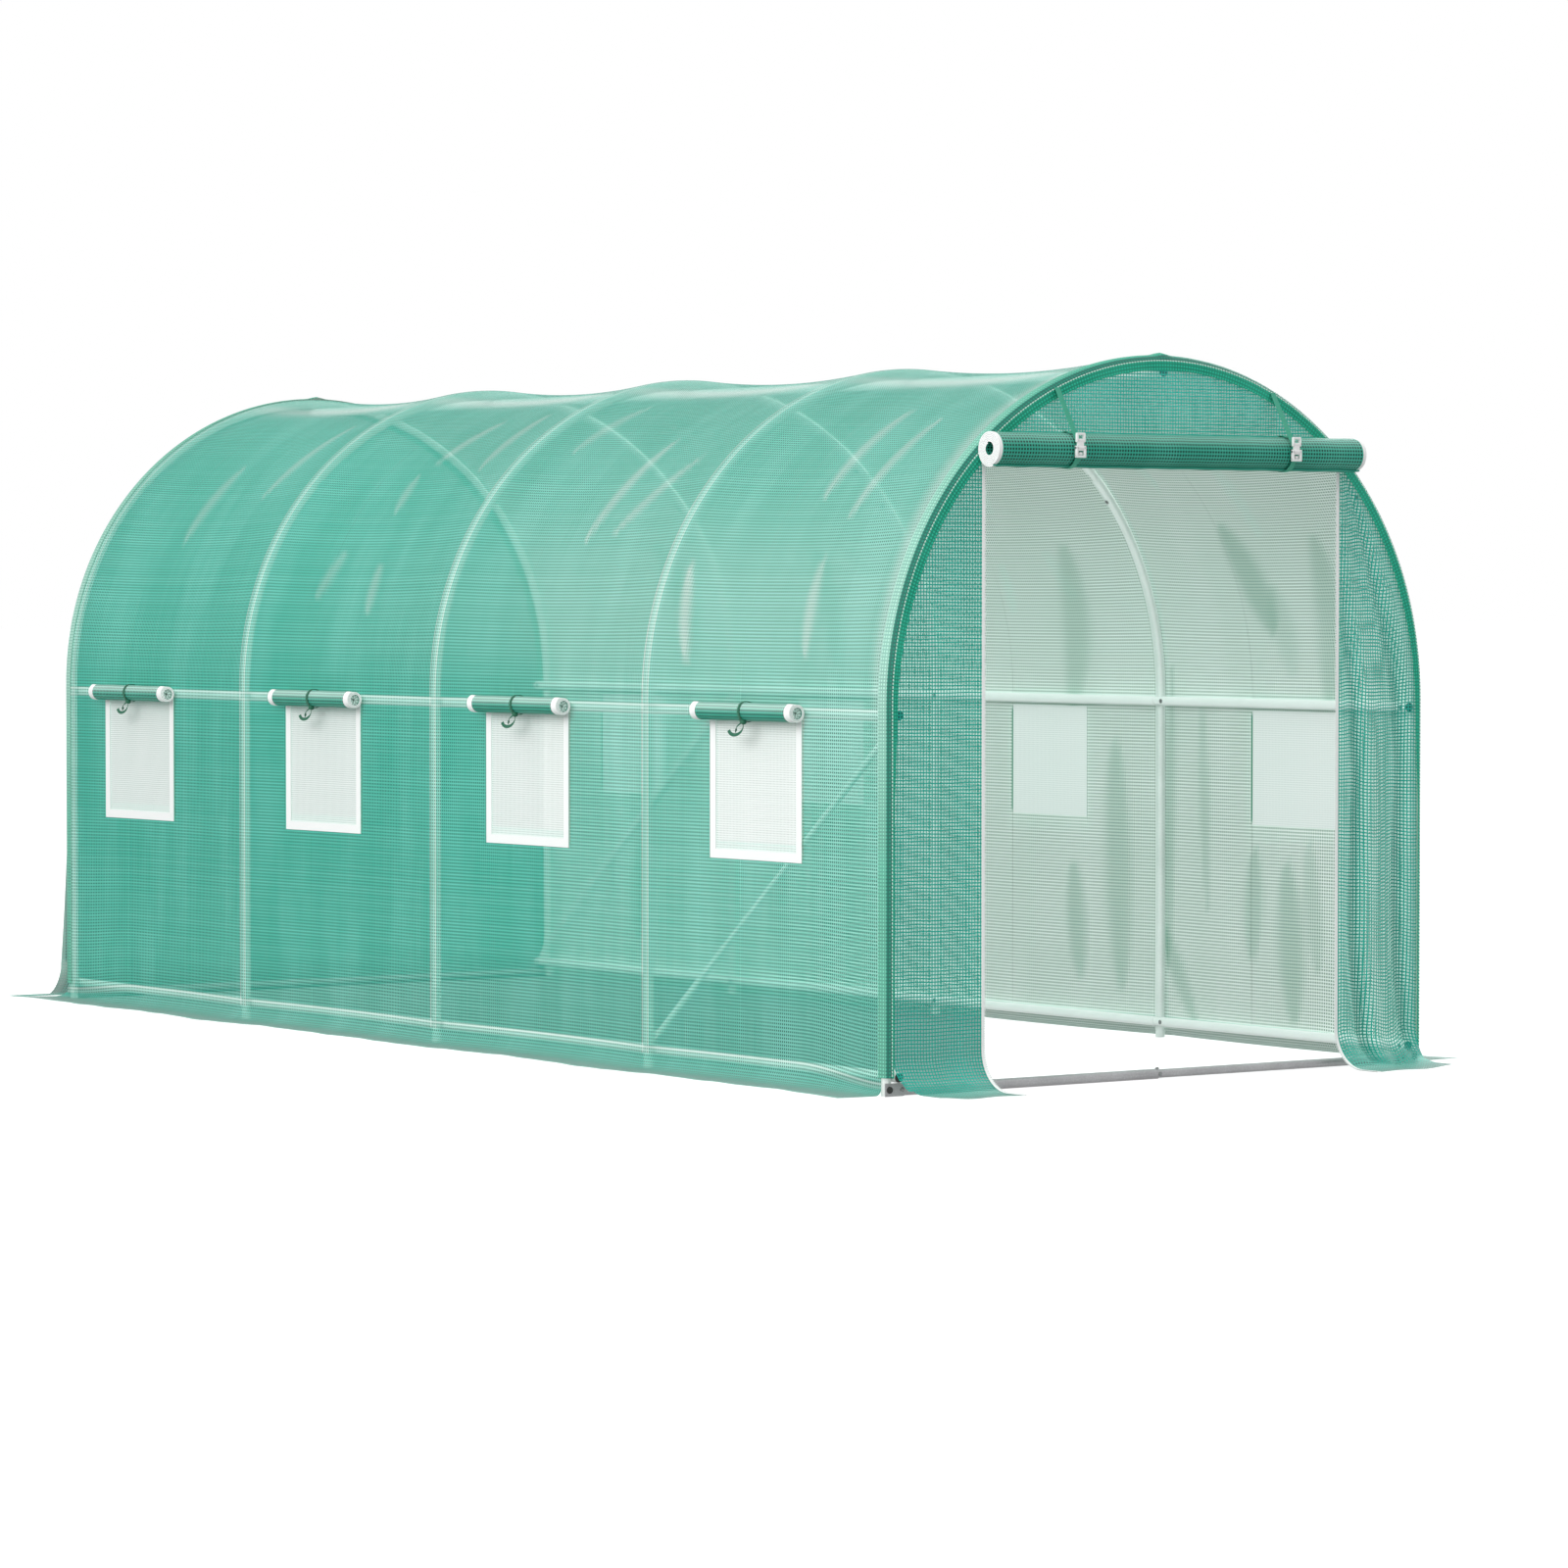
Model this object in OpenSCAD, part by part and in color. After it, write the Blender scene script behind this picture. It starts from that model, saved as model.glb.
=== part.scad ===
// Walk-in polytunnel greenhouse: tube hoops and rails under a woven cover,
// with roll-up windows along both sides and a roll-up door in the front end.

/* [Tunnel] */
// Length between the centre planes of the two end hoops
tunnel_l = 4500; // [3600:50:6000]
// Width between the centre lines of a hoop's legs
tunnel_w = 1880; // [1700:10:2400]
// Height of a hoop's straight legs, up to where the arch springs
leg_h = 1045; // [980:5:1300]

/* [Frame tubes] */
// Outside diameter of the hoop, rail and sill tubes
tube_d = 28; // [22:1:34]
// Wall of a tube, by which the spigot of the next tube is smaller
tube_wall = 2; // [1:0.5:4]
// Length of spigot that shows at a tube joint
spigot_l = 32; // [15:1:60]
// Angle of a hoop's shoulder joints above the springing
joint_deg = 45; // [25:1:65]
// Height of the base rails' centre line above the ground
base_rail_z = 50; // [40:1:90]
// Drop of the mid rails' centre line below the springing
mid_rail_drop = 25; // [15:1:120]
// Length by which the rails run past the end hoops
rail_over = 6; // [2:1:30]
// Thickness of the plug in a rail's end
plug_t = 4; // [2:0.5:8]

/* [Braces and brackets] */
// Outside diameter of a diagonal brace
brace_d = 19; // [14:1:24]
// Thickness of a brace's flattened end
tongue_t = 4; // [3:0.5:6]
// Length of a brace's flattened end
tongue_l = 52; // [35:1:80]
// Thickness of a corner bracket's plate
bracket_t = 3; // [2:0.5:5]
// Length of a corner bracket past the hoop's leg
bracket_reach = 46; // [30:1:80]
// Diameter of the bolt holes in the brackets and in the braces' ends
bolt_hole_d = 8; // [5:0.5:10]

/* [Cover] */
// Thickness of the cover sheet
cover_t = 3; // [2:0.5:5]
// Width of the edge band sewn along the end hoops
band_w = 30; // [24:1:60]
// Distance that the side ground flaps reach out from the wall
side_flap = 143; // [100:1:200]
// Radius of the bend between a side wall and its ground flap
side_bend_r = 45; // [25:1:80]
// Distance that the end ground flaps reach out from the end panels
end_flap = 185; // [160:1:260]
// Radius of the bend between an end panel and its ground flap
end_bend_r = 110; // [60:1:140]

/* [Windows] */
// Width of a window over its border
window_w = 430; // [300:5:560]
// Height of a window over its border
window_h = 414; // [280:1:480]
// Width of the hook-and-loop border round a window
border_w = 26; // [15:1:40]
// Thickness of the border tape
border_t = 1.5; // [1:0.5:3]
// Extra spacing of the windows over the spacing of the hoops
window_creep = 26; // [0:1:40]
// Shift of the left wall's windows towards the back
left_shift = 85; // [-100:1:100]
// Shift of the right wall's windows towards the back
right_shift = -20; // [-100:1:100]
// Height of a window's top edge above the mid rail's centre line
window_rise = 3; // [0:1:12]
// Diameter of a rolled-up window flap
window_roll_d = 55; // [40:1:70]
// Length of a rolled-up window flap
window_roll_l = 475; // [440:5:620]
// Wall of a rolled-up window flap round its hollow core
window_roll_wall = 13; // [8:1:18]
// Width of a window tie
tie_w = 14; // [8:1:24]
// Thickness of a window tie
tie_t = 1.5; // [1:0.5:3]

/* [Door] */
// Width of the doorway
door_w = 1265; // [900:5:1350]
// Drop of the doorway's top below the centre line of the hoop's crown
door_drop = 285; // [230:5:400]
// Diameter of the rolled-up door
door_roll_d = 98; // [70:1:120]
// Length by which the rolled-up door passes the doorway on each side
door_roll_over = 22; // [5:1:40]
// Wall of the rolled-up door round its hollow core
door_roll_wall = 34; // [20:1:34]
// Height of the door roll's centre line above the doorway's top
door_roll_rise = 35; // [20:1:60]
// Width of the zip tape on the doorway's edges
zip_w = 16; // [10:1:30]
// Thickness of the zip tape
zip_t = 2; // [1:0.5:4]
// Distance between the two door straps
strap_gap = 770; // [500:5:900]
// Width of a door strap
strap_w = 18; // [12:1:30]
// Thickness of a door strap
strap_t = 1.6; // [1:0.2:3]
// Width of a strap buckle
buckle_w = 34; // [24:1:44]
// Height of a strap buckle
buckle_h = 68; // [48:1:80]
// Thickness of a strap buckle
buckle_t = 8; // [5:0.5:12]

/* [Hidden] */

$fn = 96;
// Facets of the wide arcs of the cover
wide_fn = 720;
bays = 4;
// Gap left where one piece seats on another
seat = 0.3;
// Distance by which cutting shapes pass what they cut
overrun = 20;

tube_r = tube_d / 2;
spigot_r = tube_r - tube_wall;
hoop_r = tunnel_w / 2;
bay_l = tunnel_l / bays;
half_bay = bay_l / 2;
rail_r = hoop_r - tube_d - seat;
rail_end = tunnel_l / 2 + tube_r + rail_over;
mid_rail_z = leg_h - mid_rail_drop;
crown_z = leg_h + hoop_r;

// The cover lies on the hoops and is drawn in between them until it meets the rails,
// so each bay follows one wide arc in plan, with its centre outside the tunnel.
cover_r = hoop_r + tube_r + seat + cover_t;
cover_sag = tube_d;
sag_r = (pow(half_bay, 2) + pow(cover_sag, 2)) / (2 * cover_sag);
sag_centre = cover_r - cover_sag + sag_r;

// End panels close the tunnel just past the rail plugs, inside the cover's edge.
panel_in = rail_end + plug_t + seat;
panel_out = panel_in + cover_t;
panel_r = cover_r - cover_t - seat;
band_out = panel_out + seat + cover_t;
wall_z = side_bend_r + cover_t;
panel_z = end_bend_r + cover_t;

window_z = mid_rail_z + window_rise - window_h;
window_roll_r = window_roll_d / 2;
door_top = crown_z - door_drop;
door_roll_r = door_roll_d / 2;
door_roll_z = door_top + door_roll_rise;
door_roll_y = -(band_out + seat + door_roll_r);

cover_green = [0.29, 0.70, 0.57];
dark_green = [0.07, 0.45, 0.33];
tube_white = [0.84, 0.92, 0.88];
zinc_grey = [0.70, 0.70, 0.71];
tape_white = [0.96, 0.97, 0.96];
plug_black = [0.06, 0.07, 0.07];

function hoop_y(i) = (i - bays / 2) * bay_l;
function bay_y(i) = hoop_y(i) + half_bay;
function window_y(i, shift) = (i - (bays - 1) / 2) * (bay_l + window_creep) + shift;
function side_shift(side) = side < 0 ? left_shift : right_shift;
// Distance of the cover's outer face from the tunnel's middle, v along the bay from its centre
function cover_face(v) = sag_centre - sqrt(pow(sag_r, 2) - pow(v, 2));

// Mirrors a piece drawn on the right side to the left side
module on_side(side) {
    mirror([side < 0 ? 1 : 0, 0, 0]) children();
}

// Hoops and rails
module hoop_arc(from, to, r) {
    rotate([0, -from, 0])
        rotate([90, 0, 0])
            rotate_extrude(angle = to - from)
                translate([hoop_r, 0]) circle(r);
}

module hoop(i) {
    spigot_deg = spigot_l / hoop_r * 180 / PI;
    seat_deg = seat / hoop_r * 180 / PI;
    color(tube_white) translate([0, hoop_y(i), 0]) {
        for (side = [-1, 1])
            on_side(side) {
                translate([hoop_r, 0, 0]) cylinder(h = leg_h, r = tube_r);
                translate([0, 0, leg_h]) {
                    hoop_arc(0, joint_deg - spigot_deg, tube_r);
                    hoop_arc(joint_deg - 2 * spigot_deg, joint_deg - seat_deg, spigot_r);
                }
            }
        translate([0, 0, leg_h]) hoop_arc(joint_deg, 180 - joint_deg, tube_r);
    }
}

// A rail in one length per bay; each length's spigot shows on the front side of a hoop
module rail() {
    color(tube_white) {
        for (i = [0 : bays - 1]) {
            from = i == 0 ? -rail_end : hoop_y(i) - tube_r;
            to = i == bays - 1 ? rail_end : hoop_y(i + 1) - tube_r - spigot_l;
            translate([0, from, 0]) rotate([-90, 0, 0]) cylinder(h = to - from, r = tube_r);
        }
        for (i = [1 : bays - 1])
            translate([0, hoop_y(i), 0])
                rotate([90, 0, 0]) cylinder(h = tube_r + 2 * spigot_l, r = spigot_r);
    }
}

module ridge_rail() {
    translate([0, 0, leg_h + rail_r]) rail();
}

module side_rail(side, z) {
    translate([side * rail_r, 0, z]) rail();
}

// A sill on the ground between an end hoop's feet: one half plugs into the other
module sill_rail(end) {
    half_l = hoop_r - tube_r - seat;
    color(zinc_grey) translate([0, end * tunnel_l / 2, tube_r]) rotate([0, 90, 0]) {
        translate([0, 0, -half_l]) cylinder(h = half_l, r = tube_r);
        cylinder(h = half_l, r = spigot_r);
    }
}

// A diagonal brace with flattened ends, from a hoop's base to the mid rail at the hoop in front
module brace(side, low_hoop) {
    clear = tube_r + brace_d;
    rise = mid_rail_z - base_rail_z - 2 * clear;
    slant = atan2(bay_l, rise);
    length = norm([bay_l, rise]);
    x = hoop_r - tube_r - seat - brace_d / 2;
    color(tube_white)
        on_side(side)
            translate([x, hoop_y(low_hoop), base_rail_z + clear])
                rotate([slant, 0, 0]) {
                    translate([0, 0, tongue_l / 2]) cylinder(h = length - tongue_l, r = brace_d / 2);
                    brace_tongue();
                    translate([0, 0, length]) mirror([0, 0, 1]) brace_tongue();
                }
}

// A brace's end: pressed flat, rounded at its tip and pierced for a bolt
module brace_tongue() {
    tip = brace_d / 2 - tongue_l / 2;
    translate([brace_d / 2 - tongue_t, 0, 0])
        rotate([90, 0, 90])
            linear_extrude(tongue_t)
                difference() {
                    union() {
                        translate([0, tip]) circle(brace_d / 2);
                        translate([-brace_d / 2, tip]) square([brace_d, tongue_l - brace_d / 2]);
                    }
                    translate([0, tip]) circle(bolt_hole_d / 2);
                }
}

module rail_plugs() {
    color(plug_black)
        for (end = [-1, 1])
            for (place = [
                [0, leg_h + rail_r], [-rail_r, mid_rail_z], [rail_r, mid_rail_z],
                [-rail_r, base_rail_z], [rail_r, base_rail_z]
            ])
                translate([place[0], end * (rail_end + plug_t / 2), place[1]])
                    rotate([90, 0, 0]) cylinder(h = plug_t, r = spigot_r, center = true);
}

// A bracket's plate, seen from the tunnel's end: round at its inner end, with one bolt hole
// over the sill and one over the hoop's leg
module bracket_plate() {
    bracket_h = base_rail_z - tube_r - seat;
    round_r = bracket_h / 2;
    inner = hoop_r - tube_r - bracket_reach + round_r;
    difference() {
        union() {
            translate([inner, 0]) square([hoop_r + tube_r - inner, bracket_h]);
            translate([inner, round_r]) circle(round_r);
        }
        for (x = [inner, hoop_r])
            translate([x, round_r]) circle(bolt_hole_d / 2);
    }
}

// Plates that join an end hoop's feet to its sill, on the outer side
module corner_brackets() {
    color(zinc_grey)
        for (side = [-1, 1])
            for (end = [-1, 1])
                on_side(side)
                    mirror([0, end < 0 ? 0 : 1, 0])
                        translate([0, -(tunnel_l / 2 + tube_r + seat), 0])
                            rotate([90, 0, 0]) linear_extrude(bracket_t) bracket_plate();
}

// Plan of the sheet over one bay, between two offsets outward from the cover's outer face
module bay_strip(from, to) {
    reach = cover_sag + overrun;
    intersection() {
        translate([sag_centre, 0])
            difference() {
                circle(sag_r - from, $fn = wide_fn);
                circle(sag_r - to, $fn = wide_fn);
            }
        translate([cover_r - reach, -half_bay]) square([reach + overrun, bay_l]);
    }
}

// A bay's roof is the strip turned through a half circle about the tunnel's axis
module roof_bay(i) {
    color(cover_green)
        translate([0, bay_y(i), leg_h])
            rotate([90, 0, 0])
                rotate_extrude(angle = 180) bay_strip(-cover_t, 0);
}

module side_wall(side) {
    opening = [cover_r, window_w - 2 * border_w, window_h - 2 * border_w];
    color(cover_green)
        on_side(side)
            difference() {
                translate([0, 0, wall_z])
                    linear_extrude(leg_h - wall_z)
                        for (i = [0 : bays - 1])
                            translate([0, bay_y(i)]) bay_strip(-cover_t, 0);
                for (i = [0 : bays - 1])
                    translate([
                        cover_r / 2,
                        window_y(i, side_shift(side)) - opening[1] / 2,
                        window_z + border_w
                    ])
                        cube(opening);
            }
}

// Section of a sheet that bends outward at the ground: face is where its outer face stands
module flare_section(face, reach, bend_r) {
    outer_r = bend_r + cover_t;
    translate([face - bend_r, 0])
        intersection() {
            translate([0, outer_r])
                difference() {
                    circle(outer_r);
                    circle(bend_r);
                }
            square(outer_r);
        }
    translate([face - reach, 0]) square([reach - bend_r, cover_t]);
}

// A side flap follows the same arcs in plan as the wall above it
module side_ground_flap(side) {
    sweep = asin((half_bay + overrun) / (sag_r - side_flap));
    reach = side_flap + cover_sag + overrun;
    color(cover_green)
        on_side(side)
            for (i = [0 : bays - 1])
                translate([0, bay_y(i), 0])
                    intersection() {
                        translate([sag_centre, 0, 0])
                            rotate([0, 0, 180 - sweep])
                                rotate_extrude(angle = 2 * sweep, $fn = wide_fn)
                                    flare_section(sag_r, side_flap, side_bend_r);
                        translate([cover_r - reach, -half_bay, -overrun])
                            cube([2 * reach, bay_l, wall_z + 2 * overrun]);
                    }
}

module end_ground_flap(end, from, to) {
    mirror([0, end < 0 ? 0 : 1, 0])
        translate([from, 0, 0])
            rotate([90, 0, 90])
                linear_extrude(to - from) flare_section(-panel_out, end_flap, end_bend_r);
}

module front_ground_flaps() {
    color(cover_green) {
        end_ground_flap(-1, -panel_r, -door_w / 2);
        end_ground_flap(-1, door_w / 2, panel_r);
    }
}

module back_ground_flap() {
    color(cover_green) end_ground_flap(1, -panel_r, panel_r);
}

// Outline of an end of the tunnel at a radius, from the bend of the ground flap up
module end_outline(r) {
    translate([0, leg_h])
        intersection() {
            circle(r, $fn = wide_fn);
            translate([-r, 0]) square([2 * r, r]);
        }
    translate([-r, panel_z]) square([2 * r, leg_h - panel_z]);
}

// Stands an outline on an end of the tunnel, its inner face at the given distance out
module stand_end(end, inner) {
    mirror([0, end < 0 ? 0 : 1, 0])
        translate([0, -inner, 0])
            rotate([90, 0, 0])
                linear_extrude(cover_t) children();
}

module front_gable() {
    color(cover_green)
        stand_end(-1, panel_in)
            intersection() {
                end_outline(panel_r);
                translate([-cover_r, door_top]) square(2 * cover_r);
            }
}

module front_side_panel(side) {
    color(cover_green)
        on_side(side)
            stand_end(-1, panel_in)
                intersection() {
                    end_outline(panel_r);
                    translate([door_w / 2, 0]) square([cover_r, door_top]);
                }
}

module back_panel() {
    color(cover_green) stand_end(1, panel_in) end_outline(panel_r);
}

// Plan of the sleeve that closes the cover round an end hoop: a lip over the hoop and a band in front of it
module sleeve_plan() {
    lip = sag_centre - sqrt(pow(sag_r + cover_t, 2) - pow(half_bay, 2));
    out = band_out - tunnel_l / 2;
    polygon([
        [lip, 0], [cover_r, 0], [cover_r, out], [cover_r - band_w, out],
        [cover_r - band_w, out - cover_t], [lip, out - cover_t]
    ]);
}

module edge_band(end) {
    color(dark_green)
        mirror([0, end < 0 ? 1 : 0, 0])
            translate([0, tunnel_l / 2, 0]) {
                translate([0, 0, leg_h])
                    rotate([90, 0, 0])
                        rotate_extrude(angle = 180)
                            mirror([0, 1]) sleeve_plan();
                for (side = [-1, 1])
                    on_side(side)
                        translate([0, 0, panel_z]) linear_extrude(leg_h - panel_z) sleeve_plan();
            }
}

// Visits every window: children are drawn on the right side with the bay's centre at y = 0
module at_windows() {
    for (side = [-1, 1])
        on_side(side)
            for (i = [0 : bays - 1]) {
                $along = window_y(i, side_shift(side)) - bay_y(i);
                translate([0, bay_y(i), 0]) children();
            }
}

module window_block(edge) {
    size = [cover_r, window_w - 2 * edge, window_h - 2 * edge];
    translate([cover_r / 2, $along - size[1] / 2, window_z + edge]) cube(size);
}

module window_screens() {
    color(tape_white)
        at_windows()
            intersection() {
                linear_extrude(leg_h) bay_strip(-cover_t, 0);
                window_block(border_w + seat);
            }
}

module window_borders() {
    color(tape_white)
        at_windows()
            intersection() {
                linear_extrude(leg_h) bay_strip(seat, seat + border_t);
                difference() {
                    window_block(0);
                    window_block(border_w);
                }
            }
}

// Lays a tube along a window's top, outside the cover and its border
module window_tube(outer_r, inner_r, from, to) {
    on_cover = cover_face(abs($along) + window_roll_l / 2) + seat;
    on_border = cover_face(abs($along) + window_w / 2) + border_t + 2 * seat;
    x = max(on_cover, on_border) + window_roll_r;
    translate([x, $along + from, mid_rail_z])
        rotate([-90, 0, 0])
            difference() {
                cylinder(h = to - from, r = outer_r);
                translate([0, 0, -overrun]) cylinder(h = to - from + 2 * overrun, r = inner_r);
            }
}

module window_rolls() {
    half_green = window_roll_l / 2 - border_w;
    color(cover_green)
        at_windows()
            window_tube(window_roll_r, window_roll_r - window_roll_wall, -half_green, half_green);
}

module window_roll_ends() {
    half_l = window_roll_l / 2;
    color(tape_white)
        at_windows() {
            window_tube(window_roll_r, window_roll_r - window_roll_wall, -half_l, border_w - half_l);
            window_tube(window_roll_r, window_roll_r - window_roll_wall, half_l - border_w, half_l);
        }
}

module window_ties() {
    inner = window_roll_r + seat;
    color(dark_green)
        at_windows() window_tube(inner + tie_t, inner, -tie_w / 2, tie_w / 2);
}

module door_roll() {
    length = door_w + 2 * door_roll_over;
    color(dark_green)
        translate([-length / 2, door_roll_y, door_roll_z])
            rotate([0, 90, 0])
                difference() {
                    cylinder(h = length, r = door_roll_r);
                    translate([0, 0, -overrun])
                        cylinder(h = length + 2 * overrun, r = door_roll_r - door_roll_wall);
                }
}

// A strap runs from the edge band over the arch, down the front of the roll and round it
module door_straps() {
    inner = door_roll_r + seat;
    outer = inner + strap_t;
    anchor_z = leg_h + sqrt(pow(cover_r - band_w / 2, 2) - pow(strap_gap / 2, 2));
    back = inner;
    up = anchor_z - door_roll_z;
    lean = atan2(back, up) + asin(inner / norm([back, up]));
    length = norm([back, up]) * cos(asin(inner / norm([back, up])));
    normal = [-cos(lean), sin(lean)];
    along = [sin(lean), cos(lean)];
    color(dark_green)
        for (side = [-1, 1])
            translate([side * strap_gap / 2 - strap_w / 2, door_roll_y, door_roll_z])
                rotate([90, 0, 90])
                    linear_extrude(strap_w) {
                        difference() {
                            circle(outer);
                            circle(inner);
                        }
                        polygon([
                            inner * normal, outer * normal,
                            outer * normal + length * along, inner * normal + length * along
                        ]);
                    }
}

// Side-release buckles on the front of the straps
module door_buckles() {
    waist_share = 0.62;
    shoulder_share = 0.55;
    slot_share = 0.12;
    front = door_roll_y - door_roll_r - strap_t - 2 * seat;
    color(tape_white)
        for (side = [-1, 1])
            translate([side * strap_gap / 2, front, door_roll_z])
                rotate([90, 0, 0])
                    linear_extrude(buckle_t)
                        difference() {
                            union() {
                                translate([-buckle_w / 2, -buckle_h / 2])
                                    square([buckle_w, buckle_h * shoulder_share]);
                                translate([-buckle_w * waist_share / 2, 0])
                                    square([buckle_w * waist_share, buckle_h / 2]);
                            }
                            for (y = [-buckle_h * (1 - slot_share) / 2, buckle_h * (0.5 - 2 * slot_share)])
                                translate([-buckle_w * waist_share * waist_share / 2, y])
                                    square([buckle_w * waist_share * waist_share, buckle_h * slot_share]);
                        }
}

// White zip tapes up both edges of the doorway, as far as the door roll or the edge band
module door_zips() {
    zip_x = door_w / 2 + zip_w + seat;
    under_band = leg_h + sqrt(pow(cover_r - band_w, 2) - pow(zip_x, 2));
    top = min(door_roll_z - door_roll_r, under_band);
    color(tape_white)
        for (side = [-1, 1])
            on_side(side)
                translate([door_w / 2, -(panel_out + seat + zip_t), panel_z])
                    cube([zip_w, zip_t, top - panel_z]);
}

for (i = [0 : bays])
    hoop(i);
ridge_rail();
side_rail(-1, mid_rail_z);  // left_mid_rail
side_rail(1, mid_rail_z);  // right_mid_rail
side_rail(-1, base_rail_z);  // left_base_rail
side_rail(1, base_rail_z);  // right_base_rail
sill_rail(-1);  // front_sill_rail
sill_rail(1);  // back_sill_rail
brace(-1, 1);  // left_front_brace
brace(1, bays);  // right_back_brace
rail_plugs();
corner_brackets();
for (i = [0 : bays - 1])
    roof_bay(i);
side_wall(-1);  // left_wall
side_wall(1);  // right_wall
front_gable();
front_side_panel(-1);  // front_left_panel
front_side_panel(1);  // front_right_panel
back_panel();
edge_band(-1);  // front_edge_band
edge_band(1);  // back_edge_band
side_ground_flap(-1);  // left_ground_flap
side_ground_flap(1);  // right_ground_flap
front_ground_flaps();
back_ground_flap();
window_screens();
window_borders();
window_rolls();
window_roll_ends();
window_ties();
door_roll();
door_straps();
door_buckles();
door_zips();
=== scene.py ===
import math

import bpy
import numpy as np
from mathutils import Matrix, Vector


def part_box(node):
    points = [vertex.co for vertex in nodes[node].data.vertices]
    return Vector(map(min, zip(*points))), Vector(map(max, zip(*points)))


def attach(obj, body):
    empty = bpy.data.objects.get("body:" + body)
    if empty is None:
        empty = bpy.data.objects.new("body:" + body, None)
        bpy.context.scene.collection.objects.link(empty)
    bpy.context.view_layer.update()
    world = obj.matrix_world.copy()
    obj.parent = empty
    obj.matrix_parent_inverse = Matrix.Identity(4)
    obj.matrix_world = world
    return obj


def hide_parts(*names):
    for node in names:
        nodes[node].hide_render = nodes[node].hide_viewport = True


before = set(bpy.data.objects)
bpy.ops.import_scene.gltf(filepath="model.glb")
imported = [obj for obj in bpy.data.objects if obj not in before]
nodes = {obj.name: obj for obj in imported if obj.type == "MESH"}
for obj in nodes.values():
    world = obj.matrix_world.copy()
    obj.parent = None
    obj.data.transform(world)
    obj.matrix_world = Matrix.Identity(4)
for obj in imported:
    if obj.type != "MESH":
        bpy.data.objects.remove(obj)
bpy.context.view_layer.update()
scene = bpy.context.scene
scene.view_settings.view_transform = "Standard"

# Camera: well off the front left corner, at about head height, with a long lens,
# so that the left wall and the open front end both show.
camera_data = bpy.data.cameras.new("camera")
camera_data.sensor_width = 36.0
camera_data.lens = 130.33
camera_data.clip_end = 300.0
camera = bpy.data.objects.new("camera", camera_data)
camera.location = (-10.025, -14.398, 1.362)
camera.rotation_euler = (math.radians(88.0185), 0.0, math.radians(-35.761))
scene.collection.objects.link(camera)
scene.camera = camera


# Studio: a plain white floor and sky, with a wide soft lamp beyond each long side.
# The floor glows for the camera so that it stays white, and still takes the shadow.
def place(tree, kind, values=None, **settings):
    """Adds a node with its settings, and its input values or the sockets that feed them."""
    made = tree.nodes.new(kind)
    for name, value in settings.items():
        setattr(made, name, value)
    for name, value in (values or {}).items():
        if isinstance(value, bpy.types.NodeSocket):
            tree.links.new(value, made.inputs[name])
        else:
            made.inputs[name].default_value = value
    return made


def figure(tree, operation, *terms):
    """The result of a sum on sockets and numbers."""
    made = place(tree, "ShaderNodeMath", dict(enumerate(terms)), operation=operation)
    return made.outputs[0]


def seen_directly(tree):
    """1 for what the camera or a reflection looks at with no cloth between, and 0 for light on its way."""
    path = place(tree, "ShaderNodeLightPath").outputs
    mirrored = figure(tree, "MAXIMUM", path["Is Glossy Ray"], path["Is Transmission Ray"])
    looked_at = figure(tree, "MAXIMUM", path["Is Camera Ray"], mirrored)
    in_the_clear = figure(tree, "LESS_THAN", path["Transparent Depth"], 0.5)
    return figure(tree, "MULTIPLY", looked_at, in_the_clear)


def seen_through_cloth(tree):
    """1 for what the camera looks at through the cover's cloth."""
    path = place(tree, "ShaderNodeLightPath").outputs
    behind = figure(tree, "GREATER_THAN", path["Transparent Depth"], 0.5)
    return figure(tree, "MULTIPLY", path["Is Camera Ray"], behind)


sky_low, sky_high = 0.44, 0.95
world = bpy.data.worlds.new("studio_sky")
world.use_nodes = True
scene.world = world
tree = world.node_tree
tree.nodes.clear()
way_up = place(tree, "ShaderNodeSeparateXYZ", {0: place(tree, "ShaderNodeTexCoord").outputs["Generated"]})
sky_level = place(
    tree,
    "ShaderNodeMapRange",
    {"Value": way_up.outputs["Z"], "From Max": 0.35, "To Min": sky_low, "To Max": sky_high},
)
lit_sky = place(tree, "ShaderNodeBackground", {"Color": (1, 1, 1, 1), "Strength": sky_level.outputs[0]})
white_sky = place(tree, "ShaderNodeBackground", {"Color": (1, 1, 1, 1), "Strength": 1.0})
sky = place(
    tree, "ShaderNodeMixShader", {0: seen_directly(tree), 1: lit_sky.outputs[0], 2: white_sky.outputs[0]}
)
place(tree, "ShaderNodeOutputWorld", {"Surface": sky.outputs[0]})

floor_half = 150.0
fade_start, fade_end = 30.0, 140.0
floor_glow = 0.76
floor_mesh = bpy.data.meshes.new("floor")
floor_z = -0.0005
corners = [(x * floor_half, y * floor_half, floor_z) for x, y in ((-1, -1), (1, -1), (1, 1), (-1, 1))]
floor_mesh.from_pydata(corners, [], [(0, 1, 2, 3)])
floor = bpy.data.objects.new("floor", floor_mesh)
scene.collection.objects.link(floor)
floor_paint = bpy.data.materials.new("floor_paint")
floor_paint.use_nodes = True
tree = floor_paint.node_tree
tree.nodes.clear()
bounce = place(tree, "ShaderNodeBsdfDiffuse", {"Color": (0.36, 0.36, 0.36, 1)})
near_floor = place(tree, "ShaderNodeBsdfDiffuse", {"Color": (0.28, 0.29, 0.29, 1)})
far_floor = place(tree, "ShaderNodeEmission", {"Color": (1, 1, 1, 1), "Strength": sky_low})
on_floor = place(tree, "ShaderNodeTexCoord").outputs["Object"]
distance = place(tree, "ShaderNodeVectorMath", {0: on_floor}, operation="LENGTH").outputs["Value"]
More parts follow.
